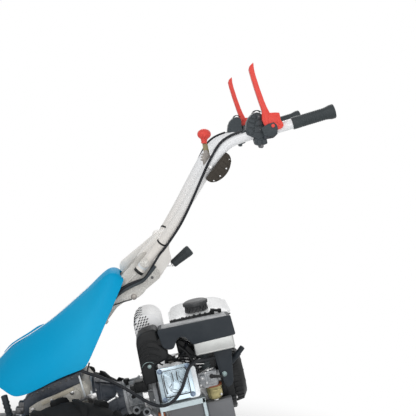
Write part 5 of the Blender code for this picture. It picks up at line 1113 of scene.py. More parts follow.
cap = {"low": 0.215, "top": 0.2463, "knurls": 40, "teeth": 20}
capBody = lathe([(0.0, cap["top"]), (0.025, cap["top"]), (0.031, cap["top"] - 0.001),
        (0.035, cap["top"] - 0.0035), (0.036, cap["top"] - 0.006), (0.0352, cap["top"] - 0.0125),
        (0.03, cap["top"] - 0.014), (0.0285, cap["low"] + 0.008), (0.03, cap["low"] + 0.006),
        (0.03, cap["low"] + 0.0004), (0.0265, cap["low"] + 0.0002), (0.0265, cap["low"] + 0.01),
        (0.0, cap["low"] + 0.01)], 64)
knurls = around(cap["knurls"], "Z",
    block((0.0335, 0.037), (-0.0013, 0.0013), (cap["top"] - 0.0125, cap["top"] - 0.004), 0.0006, 1))
teeth = (around(cap["teeth"], "Z",
        block((0.028, 0.0345), (-0.0026, 0.0026), (cap["low"] + 0.0004, cap["low"] + 0.0074), 0.0006, 1), 4)
    + around(cap["teeth"], "Z",
        block((0.028, 0.0335), (-0.0018, 0.0018), (cap["low"] + 0.008, cap["low"] + 0.015), 0.0006, 1), 11))
capRing = lathe([(0.0255, cap["top"] - 0.0002), (0.0275, cap["top"]), (0.029, cap["top"] - 0.001)], 64)
onEngine("fuel_cap_knurled", [moved(joined(capBody, *knurls, *teeth, capRing), shift(neckX, neckY))],
    capPlastic, "fuel_cap", body="fuel_cap")
print("tank and cap made")


# Air cleaner: cover with an arch, brushed band below it, elbow to the carburettor
airOutline = ([(0.122, 0.2165)] + arc((0.1245, 0.2115), 0.0065, 60, 0, 4)[1:]
    + [(0.134, 0.163), (0.131, 0.16), (0.016, 0.158), (0.011, 0.161), (0.004, 0.172), (-0.003, 0.1812),
        (-0.01, 0.186), (-0.018, 0.1866), (-0.026, 0.184), (-0.031, 0.177), (-0.036, 0.168),
        (-0.04, 0.1618), (-0.046, 0.158), (-0.056, 0.159), (-0.066, 0.165), (-0.071, 0.172),
        (-0.0762, 0.21)] + arc((-0.069, 0.2125), 0.007, 170, 95, 4))
airCover = plate(airOutline, -0.2, -0.0813, bevel=0.0055, segments=4)
for v in airCover.verts:
    if v.co.z > 0.2:
        v.co.z -= max(0.0, v.co.y + 0.19) * 0.11
topLine = wire([(-0.066, -0.1948, 0.2182), (0.03, -0.1948, 0.2163), (0.12, -0.1948, 0.2146)], 0.02, 0.001,
    2)
onEngine("air_cleaner_shell", [airCover, topLine], slatePlastic, "air_cleaner_cover",
    sharp=50)
band = block((0.014, 0.128), (-0.17, -0.0818), (0.116, 0.1577), 0.005, 3)
bandLips = [roundedPlate(0.058, 0.0446, 0.008, z, z + 0.003, 0.0008, (0.071, -0.1259))
    for z in (0.119, 0.152)]
onEngine("air_cleaner_band", [band, *bandLips], brushedBand, "air_cleaner_body")
onEngine("air_cleaner_elbow", [
        rod((0.038, -0.118, 0.058), (0.038, -0.118, 0.118), 0.0165, sides=40),
        *[rod((0.038, -0.118, 0.064 + k * 0.0085), (0.038, -0.118, 0.069 + k * 0.0085), 0.0185, sides=40,
                bevel=0.0014) for k in range(6)]], gripRubber)
onEngine("air_cleaner_clamp", [
        rod((0.038, -0.118, 0.059), (0.038, -0.118, 0.064), 0.018, sides=40, bevel=0.0006),
        hexHead((0.038, -0.136, 0.0615), toNear, 0.0032, 0.005)], brightSteel)
print("air cleaner made")


# Muffler and its slotted guard
can = block((-0.129, -0.069), (-0.064, 0.068), (0.16, 0.226), 0.02, 4)
canSeams = [roundedPlate(0.031, 0.0665, 0.016, z, z + 0.0025, 0.0008, (-0.099, 0.002))
    for z in (0.19, 0.196)]
pipe = rod((-0.092, -0.02, 0.118), (-0.092, -0.02, 0.162), 0.0168, sides=40)
pipeFlange = rod((-0.092, -0.02, 0.156), (-0.092, -0.02, 0.16), 0.024, sides=6, bevel=0.002)
outlet = lathe([(0.0075, -0.008), (0.0095, -0.008), (0.0095, 0.024), (0.0075, 0.024)], 32, closed=True,
    start=(-0.092, 0.068, 0.2), direction=(0, 0.92, 0.39))
onEngine("muffler_can", [can, *canSeams, pipe, pipeFlange, outlet], sootSteel, "muffler")

guard = {"x": (-0.141, -0.059), "y": (-0.0755, 0.0795), "z": (0.178, 0.246), "wall": 0.0016}
(gx0, gx1), (gy0, gy1), (gz0, gz1) = guard["x"], guard["y"], guard["z"]
guardOutline = ([(gx0, gz0 - 0.01)] + arc((gx0 + 0.034, gz1 - 0.034), 0.034, 180, 96, 10)
    + arc((gx1 - 0.04, gz1 - 0.04), 0.04, 84, 0, 10) + [(gx1, gz0 - 0.01)])
guardBm = plate(guardOutline, gy0, gy1, bevel=0.005, segments=4)
bmesh.ops.bisect_plane(guardBm, geom=allOf(guardBm), dist=0.000001, plane_co=(0, 0, gz0),
    plane_no=(0, 0, -1), clear_outer=True)
bmesh.ops.recalc_face_normals(guardBm, faces=guardBm.faces)
bmesh.ops.solidify(guardBm, geom=guardBm.faces, thickness=guard["wall"])
onEngine("muffler_guard_shell", guardBm, whitePaint, "muffler_guard", sharp=50)


def guardSlit(at, outward, lean):
    # a short dark mark on a face of the guard: painted shade standing for a slot
    face = Vector(outward)
    side = Vector((0, 0, 1)).cross(face) if abs(face.z) < 0.5 else Vector((0, 1, 0))
    up = face.cross(side)
    run = (side * math.cos(math.radians(lean)) + up * math.sin(math.radians(lean))) * 0.003
    middle = Vector(at) + face * 0.0001
    return rod(middle - run, middle + run, 0.0015, sides=6)


slits = []
for row in range(9):
    z = gz0 + 0.002 + row * 0.0074
    for k in range(5):
        x = gx0 + 0.0056 + k * 0.008 + (row % 2) * 0.004
        if z < gz1 - 0.034 or x > gx0 + 0.034 or math.hypot(x - gx0 - 0.034, z - gz1 + 0.034) < 0.031:
            slits.append(guardSlit((x, gy0 - 0.0003, z), (0, -1, 0), 40))
for angle in range(104, 180, 11):
    outward = (math.cos(math.radians(angle)), 0, math.sin(math.radians(angle)))
    for k in range(4):
        at = (gx0 + 0.034 + outward[0] * 0.0336, gy0 + 0.012 + k * 0.036 + (angle % 2) * 0.018,
            gz1 - 0.034 + outward[2] * 0.0336)
        slits.append(guardSlit(at, outward, 62))
for row in range(6):
    for k in range(17):
        y = gy0 + 0.014 + k * 0.0076 + (row % 2) * 0.0038
        slits.append(guardSlit((gx0 - 0.0003, y, gz0 + 0.003 + row * 0.0072), toFront, 40))
onEngine("muffler_guard_slots", slits, voidBlack)
print("muffler made:", len(slits), "slots")


# Cowl over the cylinder: a domed cover with ridges, and the dark leg below it
cowlOutline = ([(-0.144, 0.065), (-0.1445, 0.12), (-0.143, 0.178)] + arc((-0.108, 0.18), 0.0345, 170, 96, 9)
    + [(-0.1, 0.216), (-0.087, 0.2165), (-0.077, 0.212), (-0.0766, 0.169), (-0.0606, 0.151),
        (-0.0606, 0.126), (-0.088, 0.118), (-0.1033, 0.112), (-0.104, 0.065)])
cowl = plate(cowlOutline, -0.164, -0.0856, bevel=0.008, segments=4)
cowlRidges = []
for k in range(4):
    drop = 0.014 + k * 0.0165
    cowlRidges.append(wire([(-0.1418, -0.15, 0.17 - drop), (-0.138, -0.164, 0.183 - drop),
                (-0.12, -0.1655, 0.2 - drop * 1.1), (-0.1, -0.165, 0.202 - drop * 1.2),
                (-0.082, -0.164, 0.195 - drop * 1.3)], 0.006, 0.0024, 3))
for x in (-0.13, -0.116):
    cowlRidges.append(block((x, x + 0.0035), (-0.1665, -0.162), (0.12, 0.178), 0.0012))
cowlRidges.append(crossRod(-0.072, 0.179, -0.164, -0.168, 0.011, sides=40, bevel=0.0015))
legFins = [block((-0.143, -0.0985), (-0.156, -0.087), (z, z + 0.004), 0.0012)
    for z in (0.066, 0.0755, 0.085, 0.0945)]
onEngine("cylinder_cowl", [cowl, *cowlRidges, *legFins], blackPlastic, "cylinder_shroud",
    sharp=40)
onEngine("cowl_bolts", [
        hexHead((-0.119, -0.164, 0.116), toNear, 0.0045, 0.0045),
        hexHead((-0.128, -0.156, 0.0905), toNear, 0.004, 0.0035),
        wire([(-0.14, -0.1655, 0.118), (-0.13, -0.167, 0.128), (-0.115, -0.167, 0.129),
                (-0.106, -0.1655, 0.123)], 0.004, 0.0009, 2),
        block((-0.1415, -0.113), (-0.1575, -0.1555), (0.0795, 0.0812), 0.0004),
        block((-0.138, -0.112), (-0.1575, -0.1555), (0.099, 0.1004), 0.0004)], tealSteel)
print("cowl made")


def spring(start, end, radius, turns, thickness):
    # a coil spring between two points, wound and swept
    way = Vector(end) - Vector(start)
    side = way.cross(Vector((0, 1, 0))).normalized()
    other = way.normalized().cross(side)
    count = turns * 12
    return sweep([Vector(start) + way * (k / count)
            + (side * math.cos(k * math.pi / 6) + other * math.sin(k * math.pi / 6)) * radius
            for k in range(count + 1)], thickness, 2)


# Carburettor: body, flange, throat, screws, gasket and bowl
body = joined(
    block((0.0013, 0.062), (-0.141, -0.095), (0.017, 0.058), 0.006, 3),
    roundedPlate(0.0225, 0.02, 0.008, 0.012, 0.018, 0.0012, (0.038, -0.118)),
    block((-0.0085, 0.003), (-0.146, -0.09), (0.0045, 0.0578), 0.003),
    rod((0.06, -0.118, 0.036), (0.07, -0.118, 0.036), 0.016, sides=40, bevel=0.001),
    crossRod(0.018, 0.044, -0.138, -0.147, 0.0085, bevel=0.001),
    crossRod(0.046, 0.033, -0.138, -0.144, 0.006, bevel=0.0008),
    block((0.008, 0.054), (-0.144, -0.14), (0.054, 0.06), 0.0012),
    block((0.024, 0.033), (-0.145, -0.139), (0.02, 0.056), 0.002))
onEngine("carburettor_body", body, greyCasting, "carburettor", sharp=40)
onEngine("carburettor_screws", [
        panHead((0.018, -0.1468, 0.044), toNear, 0.004, 0.0018),
        panHead((0.029, -0.1438, 0.057), toNear, 0.003, 0.0014),
        panHead((0.01, -0.1408, 0.024), toNear, 0.0035, 0.0018),
        panHead((0.0285, -0.1448, 0.028), toNear, 0.003, 0.0014),
        hexHead((0.001, -0.14, 0.012), toNear, 0.0045, 0.005),
        spring((0.014, -0.15, 0.062), (0.042, -0.15, 0.07), 0.003, 6, 0.0006)], brightSteel)
onEngine("carburettor_gasket", [
        rod((0.046, -0.118, 0.0105), (0.046, -0.118, 0.014), 0.0245, sides=48, bevel=0.0008),
        block((0.023, 0.03), (-0.132, -0.104), (0.0108, 0.0138), 0.001)], rustBrown)
bowlShape = lathe([(0.0, -0.036), (0.004, -0.036), (0.0048, -0.0345), (0.0048, -0.03), (0.012, -0.0285),
        (0.019, -0.025), (0.0218, -0.019), (0.0222, -0.012), (0.0222, 0.004), (0.024, 0.006), (0.024, 0.01),
        (0.0222, 0.0106), (0.0, 0.0106)], 48, start=(0.046, -0.118, 0))
bowlLip = lathe([(0.0222, -0.003), (0.023, -0.002), (0.023, 0.0), (0.0222, 0.001)], 48,
    start=(0.046, -0.118, 0))
onEngine("carburettor_bowl", [bowlShape, bowlLip], yellowZinc, "float_bowl", sharp=50)
onEngine("carburettor_bowl_bolt", [
        rod((0.046, -0.118, -0.036), (0.046, -0.118, -0.03), 0.0075, sides=6, bevel=0.0008),
        hexHead((0.06, -0.133, -0.015), (0.6, -0.8, 0), 0.004, 0.005)], brightSteel)

shieldOutline = [(0.064, 0.115), (0.119, 0.115), (0.115, 0.09), (0.1065, 0.03), (0.1035, 0.012),
    (0.096, 0.003), (0.086, 0.003), (0.0785, 0.0095), (0.0745, 0.028), (0.069, 0.062)]
onEngine("control_shield_sheet", [
        plate(shieldOutline, -0.1385, -0.132, bevel=0.0026, segments=3),
        block((0.066, 0.118), (-0.14, -0.108), (0.109, 0.115), 0.002),
        crossRod(0.088, 0.008, -0.133, -0.099, 0.008),
        wire([(0.071, -0.1386, 0.104), (0.0745, -0.1386, 0.062), (0.079, -0.1386, 0.029),
                (0.0835, -0.1386, 0.011)], 0.006, 0.0012, 2)], slatePlastic,
    "control_shield", sharp=50)
onEngine("control_shield_bolt", [
        hexHead((0.083, -0.1385, 0.041), toNear, 0.006, 0.005),
        crossRod(0.083, 0.041, -0.1433, -0.1455, 0.003, sides=20, bevel=0.0006)], tealSteel)
onEngine("choke_arm", [
        plate([(0.043, 0.049), (0.04, 0.043), (0.043, 0.039), (0.076, 0.033), (0.079, 0.037), (0.076, 0.04),
                (0.05, 0.048)], -0.1442, -0.1414, bevel=0.0008),
        crossRod(0.046, 0.044, -0.145, -0.14, 0.0065, bevel=0.0008)], blackPlastic,
    "choke_lever", body="choke")
print("carburettor made")

# Governor arms, springs, hoses and wires between the cylinder and the air box
onEngine("governor_arms_and_hoses", [
        plate([(-0.052, 0.118), (-0.044, 0.123), (-0.018, 0.113), (0.026, 0.098), (0.027, 0.09),
                (-0.02, 0.103), (-0.05, 0.11)], -0.133, -0.13, bevel=0.0008),
        plate([(-0.034, 0.156), (-0.022, 0.164), (-0.005, 0.15), (0.012, 0.12), (0.028, 0.112),
                (0.026, 0.078), (0.012, 0.07), (-0.006, 0.076), (-0.022, 0.101), (-0.033, 0.124)], -0.118,
            -0.086, bevel=0.005),
        plate([(-0.064, 0.131), (-0.05, 0.118), (-0.034, 0.123), (-0.032, 0.116), (-0.056, 0.109),
                (-0.088, 0.116), (-0.086, 0.129), (-0.08, 0.131), (-0.081, 0.122), (-0.066, 0.1225)],
            -0.128, -0.11, bevel=0.0015),
        plate([(-0.075, 0.108), (-0.03, 0.114), (-0.016, 0.106), (-0.02, 0.096), (-0.078, 0.098)], -0.106,
            -0.09, bevel=0.003),
        block((0.03, 0.066), (-0.132, -0.1), (0.064, 0.113), 0.006),
        wire([(-0.03, -0.136, 0.15), (-0.012, -0.14, 0.13), (-0.002, -0.142, 0.108), (0.006, -0.144, 0.085),
                (0.016, -0.144, 0.072)], 0.006, 0.005, 4),
        wire([(-0.042, -0.134, 0.114), (-0.022, -0.142, 0.122), (0.008, -0.144, 0.112),
                (0.03, -0.142, 0.106)], 0.006, 0.0024, 3),
        wire([(-0.056, -0.132, 0.112), (-0.03, -0.14, 0.104), (-0.004, -0.143, 0.096),
                (0.022, -0.143, 0.09), (0.056, -0.14, 0.094)], 0.006, 0.0018, 2)], blackPlastic)
onEngine("governor_springs_and_screws", [
        spring((-0.018, -0.137, 0.112), (0.01, -0.14, 0.103), 0.0032, 7, 0.0007),
        hexHead((-0.014, -0.13, 0.096), toNear, 0.006, 0.006),
        hexHead((-0.039, -0.133, 0.119), toNear, 0.0042, 0.0045),
        hexHead((0.022, -0.1335, 0.094), toNear, 0.0045, 0.0045),
        wire([(-0.025, -0.144, 0.101), (-0.008, -0.146, 0.09), (0.008, -0.146, 0.08),
                (0.023, -0.145, 0.078)], 0.005, 0.001, 2),
        rod((0.008, -0.144, 0.089), (0.032, -0.144, 0.085), 0.0016, sides=12),
        block((-0.025, -0.013), (-0.132, -0.129), (0.084, 0.09), 0.001)], brightSteel)
onEngine("spark_plug", [
        rod((-0.064, -0.098, 0.101), (-0.048, -0.118, 0.113), 0.008, sides=6, bevel=0.001),
        rod((-0.05, -0.115, 0.1115), (-0.033, -0.131, 0.12), 0.0065, 0.008, 24, 0.0015)], creamCasting)
onEngine("spark_plug_lead",
    wire([(-0.033, -0.131, 0.12), (-0.02, -0.138, 0.126), (-0.01, -0.13, 0.14), (0.0, -0.115, 0.15)],
        0.005, 0.0034, 3), cableSheath)

# Pale top of the air box, a painted reflection with grey speckle; a dark beaded band at its far edge,
# painted shade where it meets the tank; and the hose pieces by the tank
topPanel = block((-0.064, 0.12), (-0.194, -0.088), (0.0, 0.0008), 0.0003)
for v in topPanel.verts:
    v.co.z += 0.2192 - (v.co.x + 0.0696) * 0.01566 - max(0.0, v.co.y + 0.19) * 0.11
onEngine("air_cleaner_painted_reflection_top", topPanel, paintedReflectionTop)
# black beads and line: painted shade at the seam between the air box and the tank; the hose pieces beside
# them are engine parts
seamShadowBeads = [rod((x, -0.086, 0.209 - x * 0.0157), (x + lean, -0.086, 0.209 + tall - x * 0.0157), size,
        sides=12, bevel=0.0008) for x, lean, tall, size in ((-0.033, 0.004, 0.004, 0.004),
        (-0.023, -0.002, 0.006, 0.005), (-0.011, 0.005, 0.004, 0.0042), (-0.001, 0.002, 0.007, 0.0046),
        (0.009, 0.006, 0.004, 0.0052), (0.021, -0.003, 0.006, 0.0044), (0.032, 0.005, 0.007, 0.005),
        (0.043, 0.004, 0.004, 0.0042), (0.053, -0.004, 0.007, 0.005), (0.065, 0.005, 0.006, 0.0054),
        (0.076, 0.003, 0.004, 0.0046))]
seamShadowLine = wire([(-0.038, -0.085, 0.2085), (0.03, -0.085, 0.208), (0.08, -0.085, 0.2065)], 0.02, 0.0062, 4)
hosePieces = joined(
    wire([(0.08, -0.086, 0.209), (0.088, -0.088, 0.218), (0.1, -0.088, 0.215), (0.112, -0.086, 0.213)],
        0.004, 0.0042, 3),
    rod((0.086, -0.086, 0.205), (0.09, -0.086, 0.222), 0.006, sides=20, bevel=0.001),
    rod((0.108, -0.086, 0.207), (0.11, -0.086, 0.218), 0.0052, sides=20, bevel=0.001))
onEngine("air_cleaner_seam_shadow_and_hoses", [seamShadowLine, *seamShadowBeads, hosePieces], blackPlastic)
print("governor and trim made")


# Gearbox under the hood, in the machine's frame, and the clutch housing behind it, in the engine's
gearbox = {"half": 0.085, "lidHalf": 0.0888, "plane": -0.3004, "boltRadius": 0.0052}


def fromEngine(x, z):
    point = machineFrame.inverted() @ engineFrame @ Vector((x, 0, z))
    return point.x, point.z


boxOutline = [(-0.11, 0.16), (0.044, 0.167), (0.066, 0.212), fromEngine(gearbox["plane"], -0.096),
    fromEngine(gearbox["plane"], 0.078), (0.02, 0.478), (-0.118, 0.427), (-0.149, 0.404), (-0.149, 0.192)]
boxBody = plate(boxOutline, -gearbox["half"], gearbox["half"], bevel=0.01, segments=3)
boxRibs = []
for side in (-1, 1):
    face = side * gearbox["half"]
    for degrees in (20, 65, 118, 160, 205, 335):
        rib = block((0.046, 0.108), (-0.004, 0.004), (-0.003, 0.003), 0.002)
        boxRibs.append(moved(rib, shift(0, face, 0.222) @ turn(-degrees, "Y")))
    boxRibs.append(crossRod(0, 0.222, face, face + side * 0.0075, 0.06, 0.056, 48, 0.002))
    boxRibs.append(crossRod(0, 0.222, face, side * 0.115, 0.043, 0.0325, 40, 0.0012))
    panel = plate([(-0.138, 0.3), (-0.136, 0.398), (-0.112, 0.414), (-0.01, 0.452), (0.012, 0.44),
            (0.03, 0.34), (0.02, 0.32), (-0.11, 0.288)], face - 0.004, face + 0.004, bevel=0.0025)
    boxRibs.append(panel)
onChassis("gearbox_casting", [boxBody, *boxRibs], boxAlloy, "gearbox_housing")
boxBolts = []
for side in (-1, 1):
    face = side * gearbox["half"]
    boxBolts += [hexHead((x, face + side * 0.0073, 0.222 + z), (0, side, 0), gearbox["boltRadius"], 0.0048)
        for x, z in circle(6, 0.05, 30)]
    for x, z in ((-0.126, 0.312), (-0.124, 0.39), (-0.07, 0.418), (-0.012, 0.438), (0.004, 0.378),
            (0.012, 0.338), (-0.06, 0.308)):
        boxBolts.append(hexHead((x, face + side * 0.004, z), (0, side, 0), gearbox["boltRadius"], 0.0048))
boxBolts.append(hexHead((-0.03, 0, 0.1632), (0, 0, -1), 0.0085, 0.006))
boxBolts.append(hexHead((-0.1492, 0.04, 0.24), toFront, 0.0085, 0.007))
onChassis("gearbox_bolts", boxBolts, brightSteel)

lidTop = [(-0.15, 0.417), (-0.134, 0.436), (-0.116, 0.448), (-0.08, 0.464), (-0.03, 0.485), (0.014, 0.503)]
lidOutline = lidTop + [(0.012, 0.465), (-0.06, 0.4335), (-0.099, 0.416), (-0.104, 0.368), (-0.1495, 0.368)]
lid = plate(lidOutline, -gearbox["lidHalf"], gearbox["lidHalf"], bevel=0.0035, segments=3)
lidRidges = [sweep([(x, side * 0.088, z - 0.0035) for x, z in lidTop], 0.0016, 2) for side in (-1, 1)]
filler = joined(
    rod((-0.06, 0.02, 0.47), (-0.066, 0.02, 0.486), 0.015, sides=8, bevel=0.0015),
    rod((-0.066, 0.02, 0.485), (-0.069, 0.02, 0.494), 0.009, sides=6, bevel=0.001))
onChassis("gearbox_lid", [lid, *lidRidges, filler], navyCasting, "gearbox_cover")
rivets = []
for side in (-1, 1):
    for k in range(9):
        x = -0.128 + k * 0.0165
        z = 0.433 + (x + 0.128) * 0.412
        rivets.append(panHead((x, side * (gearbox["lidHalf"] - 0.0002), z), (0, side, 0), 0.0042, 0.0024))
onChassis("gearbox_lid_rivets", rivets, darkSteel)
onChassis("gearbox_bare_strip", [plate([(-0.101, 0.412), (-0.06, 0.432), (-0.008, 0.4555), (-0.007, 0.443),
                (-0.054, 0.422), (-0.098, 0.402)], side * 0.0895 - 0.0006, side * 0.0895 + 0.0006,
            bevel=0.0003) for side in (-1, 1)], tanPaint)
onChassis("gearbox_side_flange",
    plate([(0.005, 0.488), (0.01, 0.488), (0.031, 0.414), (0.025, 0.414)], -0.0905, -0.086, bevel=0.0008),
    paleAlloy)
leverRod = joined(
    rod((-0.187, -0.09, 0.364), (-0.205, -0.09, 0.434), 0.008, 0.0095, 32, 0.002),
    *[rod((-0.19 - k * 0.003, -0.09, 0.3757 + k * 0.0117),
            (-0.1912 - k * 0.003, -0.09, 0.3804 + k * 0.0117), 0.0105, bevel=0.001) for k in range(4)])
leverFoot = joined(
    crossRod(-0.186, 0.362, -0.096, -0.04, 0.007, sides=24, bevel=0.001),
    plate([(-0.196, 0.352), (-0.196, 0.372), (-0.148, 0.35), (-0.148, 0.33)], -0.052, -0.044, bevel=0.0015),
    block((-0.174, -0.15), (-0.086, -0.064), (0.376, 0.396), 0.003),
    block((-0.166, -0.136), (-0.084, -0.06), (0.39, 0.412), 0.004),
    hexHead((-0.162, -0.086, 0.386), toNear, 0.006, 0.006))
onChassis("front_lever_rod", leverRod, slatePlastic)
onChassis("front_lever_foot", leverFoot, darkSteel)
onChassis("gear_selector_arm", [
        crossRod(-0.02, 0.4, -0.0885, -0.101, 0.013, bevel=0.0012),
        plate([(-0.026, 0.394), (-0.026, 0.406), (0.03, 0.43), (0.034, 0.424)], -0.104, -0.1, bevel=0.0008),
        hexHead((-0.02, -0.104, 0.4), toNear, 0.006, 0.005),
        crossRod(0.03, 0.4265, -0.108, -0.099, 0.004, sides=24, bevel=0.0006)], darkSteel)
print("gearbox made")

bell = {"cone": [(0.03, -0.2995), (0.083, -0.2995), (0.085, -0.2985), (0.085, -0.2925), (0.08, -0.29),
        (0.069, -0.276), (0.057, -0.25), (0.049, -0.226), (0.0475, -0.214), (0.03, -0.214)],
    "adaptor": [(0.03, -0.216), (0.05, -0.216), (0.0515, -0.215), (0.0515, -0.207), (0.047, -0.205),
        (0.047, -0.172), (0.05, -0.158), (0.058, -0.146), (0.08, -0.134), (0.097, -0.1275),
        (0.099, -0.1265), (0.099, -0.116), (0.0975, -0.1152), (0.03, -0.1152)]}
cone = lathe(bell["cone"], 72, closed=True, direction=toRear)
coneRibs = around(8, "X", plate([(-0.292, 0.079), (-0.292, 0.083), (-0.27, 0.07), (-0.245, 0.0585),
            (-0.218, 0.0505), (-0.218, 0.046)], -0.0022, 0.0022, bevel=0.0009), 22)
coneSteps = [lathe([(r, x), (r + 0.002, x + 0.0012), (r + 0.001, x + 0.004), (r - 0.002, x + 0.005)], 72,
        direction=toRear) for r, x in ((0.0722, -0.28), (0.053, -0.24))]
onEngine("clutch_housing_cone", [cone, *coneRibs, *coneSteps], navyCasting, "bell_housing",
    sharp=40)
adaptor = lathe(bell["adaptor"], 72, closed=True, direction=toRear)
adaptorRibs = around(10, "X", plate([(-0.206, 0.046), (-0.206, 0.05), (-0.17, 0.052), (-0.155, 0.062),
            (-0.14, 0.084), (-0.1275, 0.096), (-0.1275, 0.046)], -0.0024, 0.0024, bevel=0.0009))
bossSpots = [(-0.188, -0.042, -0.03), (-0.16, -0.042, -0.042), (-0.188, -0.045, 0.012),
    (-0.155, 0.046, -0.02)]
bosses = [lathe([(0.0065, -0.01), (0.0125, -0.01), (0.0125, 0.0125), (0.011, 0.014), (0.007, 0.014),
            (0.0065, 0.013)], 32, closed=True, start=at, direction=(0, math.copysign(1, at[1]), 0))
    for at in bossSpots]
onEngine("engine_adaptor_casting", [adaptor, *adaptorRibs, *bosses], greyCasting, sharp=40)
# black discs in the bosses: painted shade standing for their bores
onEngine("engine_adaptor_bores",
    [crossRod(x, z, y, y + math.copysign(0.008, y), 0.0066, sides=24) for x, y, z in bossSpots], voidBlack)
flangeBolts = [hexHead((-0.1265, y, z), toFront, 0.005, 0.005) for y, z in circle(8, 0.0905)]
flangeBolts += [hexHead((-0.2925, y, z), toRear, 0.004, 0.004) for y, z in circle(8, 0.08)]
linkage = joined(
    rod((-0.284, -0.086, 0.014), (-0.234, -0.076, 0.029), 0.003, sides=16),
    crossRod(-0.284, 0.014, -0.09, -0.081, 0.0055, sides=24, bevel=0.0006),
    crossRod(-0.234, 0.029, -0.08, -0.048, 0.005, sides=24, bevel=0.0006),
    block((-0.314, -0.288), (-0.0925, -0.086), (0.016, 0.058), 0.002),
    block((-0.306, -0.27), (-0.0905, -0.084), (0.004, 0.03), 0.002),
    hexHead((-0.302, -0.0925, 0.044), toNear, 0.0055, 0.0045),
    hexHead((-0.28, -0.0905, 0.014), toNear, 0.004, 0.0035))
onEngine("clutch_linkage", [*flangeBolts, linkage], brightSteel)
whiteFlange = block((-0.304, -0.299), (-0.088, -0.0855), (-0.03, 0.066), 0.0008)
whiteRing = lathe([(0.05, -0.303), (0.089, -0.303), (0.089, -0.2996), (0.05, -0.2996)], 72, closed=True,
    direction=toRear)
onEngine("clutch_housing_flange", [whiteFlange, whiteRing], paleAlloy)
onEngine("coil_and_breather", [
        rod((-0.201, -0.02, 0.04), (-0.201, -0.02, 0.053), 0.005, sides=24),
        rod((-0.201, -0.02, 0.05), (-0.201, -0.02, 0.06), 0.0095, sides=8, bevel=0.0012),
        block((-0.18, -0.142), (-0.078, -0.048), (0.025, 0.054), 0.004),
        block((-0.176, -0.15), (-0.079, -0.047), (0.053, 0.058), 0.0015),
        block((-0.192, -0.176), (-0.074, -0.052), (0.032, 0.048), 0.002),
        *[block((x, x + 0.0026), (-0.08, -0.076), (0.027, 0.052), 0.0006)
            for x in (-0.176, -0.169, -0.162, -0.155)]], blackPlastic)
print("clutch housing made")

# Engine base: plate, pale bracket, side plate and the grey block at the rear
onEngine("engine_base_plate", [
        block((-0.114, 0.091), (-0.114, 0.099), (-0.116, -0.1066), 0.002),
        block((-0.092, 0.004), (-0.1148, -0.1092), (-0.112, -0.03), 0.0012),
        *[block((x, x + 0.004), (-0.114, -0.09), (-0.11, -0.06), 0.001) for x in (-0.09, -0.002)]],
    panelGrey, "engine_base")
onEngine("cylinder_foot_bracket", [
        block((-0.118, 0.015), (-0.12, -0.085), (-0.024, -0.017), 0.0016),
        block((-0.118, 0.015), (-0.1225, -0.1185), (-0.033, -0.017), 0.0012),
        block((0.005, 0.015), (-0.1225, -0.106), (-0.11, -0.017), 0.0016),
        block((-0.118, -0.112), (-0.1215, -0.106), (-0.048, -0.017), 0.0016)], paleBlue)
onEngine("governor_cover_block", [
        block((0.016, 0.09), (-0.1275, -0.1012), (-0.1115, -0.033), 0.004, 3),
        block((0.019, 0.087), (-0.1285, -0.1265), (-0.107, -0.037), 0.0008)], panelGrey)
onEngine("primer_red_bracket", [
        block((-0.127, -0.107), (-0.1175, -0.1), (-0.1, -0.036), 0.003),
        block((-0.125, -0.109), (-0.1185, -0.117), (-0.098, -0.04), 0.001)], rustBrown)
baseBolts = [hexHead((x, y, -0.1062), toTop, 0.0058, 0.0055) for x in (-0.108, 0.084)
    for y in (-0.107, 0.092)]
baseBolts += [panHead((x, -0.1285, -0.102), toNear, 0.0042, 0.002) for x in (0.031, 0.081)]
onEngine("engine_base_bolts", baseBolts, brightSteel)
print("engine base made")


# Wheels: read from the model's own tyre, the left one is shaped and the right one mirrored
tyreLow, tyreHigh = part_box("left_tyre")
wheel = {"y": (tyreLow.y + tyreHigh.y) / 2, "z": (tyreLow.z + tyreHigh.z) / 2,
    "radius": (tyreHigh.z - tyreLow.z) / 2, "lugs": 11, "lean": 35, "wheelBolts": 5}
tread = wheel["radius"]
hubPlace = shift(0, wheel["y"], wheel["z"])
halfTyre = [(0.1273, 0.0335), (0.13, 0.0352), (tread - 0.084, 0.0415), (tread - 0.072, 0.0492),
    (tread - 0.058, 0.0528), (tread - 0.044, 0.053), (tread - 0.034, 0.0505), (tread - 0.026, 0.0445),
    (tread - 0.019, 0.033), (tread - 0.0145, 0.018), (tread - 0.013, 0.0)]
outside = [(r, -y) for r, y in halfTyre] + [(r, y) for r, y in halfTyre[-2::-1]]
inside = [(0.1275, 0.0285), (tread - 0.082, 0.0345), (tread - 0.06, 0.0445), (tread - 0.04, 0.044),
    (tread - 0.026, 0.028), (tread - 0.022, 0.0)]
hollow = inside + [(r, -y) for r, y in inside[-2::-1]]
carcass = lathe(outside + hollow, 96, closed=True, direction=toFar)
sideRings = []
for side in (-1, 1):
    for r, y in ((0.1345, 0.0375), (tread - 0.076, 0.0468), (tread - 0.05, 0.0534)):
        sideRings.append(lathe([(r - 0.0022, side * (y - 0.0016)), (r, side * (y + 0.0006)),
                    (r + 0.0022, side * (y - 0.001))], 96, direction=toFar))


def treadLug(side, start):
    # one tread bar: outlined across the tyre, then leaned and wrapped round the crown
    outline = [(0.0015, tread - 0.016), (0.0015, tread - 0.0012), (0.005, tread - 0.0001),
        (0.03, tread - 0.0014), (0.043, tread - 0.0075), (0.05, tread - 0.018), (0.0535, tread - 0.033),
        (0.053, tread - 0.042), (0.044, tread - 0.03)]
    lug = plate([(side * y, r) for y, r in outline], -0.0088, 0.0088, bevel=0.0022)
    lean = math.tan(math.radians(wheel["lean"]))
    for v in lug.verts:
        swing = math.radians(start) + (v.co.y + abs(v.co.x) * lean) / tread
        v.co = (v.co.z * math.sin(swing), v.co.x, v.co.z * math.cos(swing))
    bmesh.ops.recalc_face_normals(lug, faces=lug.faces)
    return lug


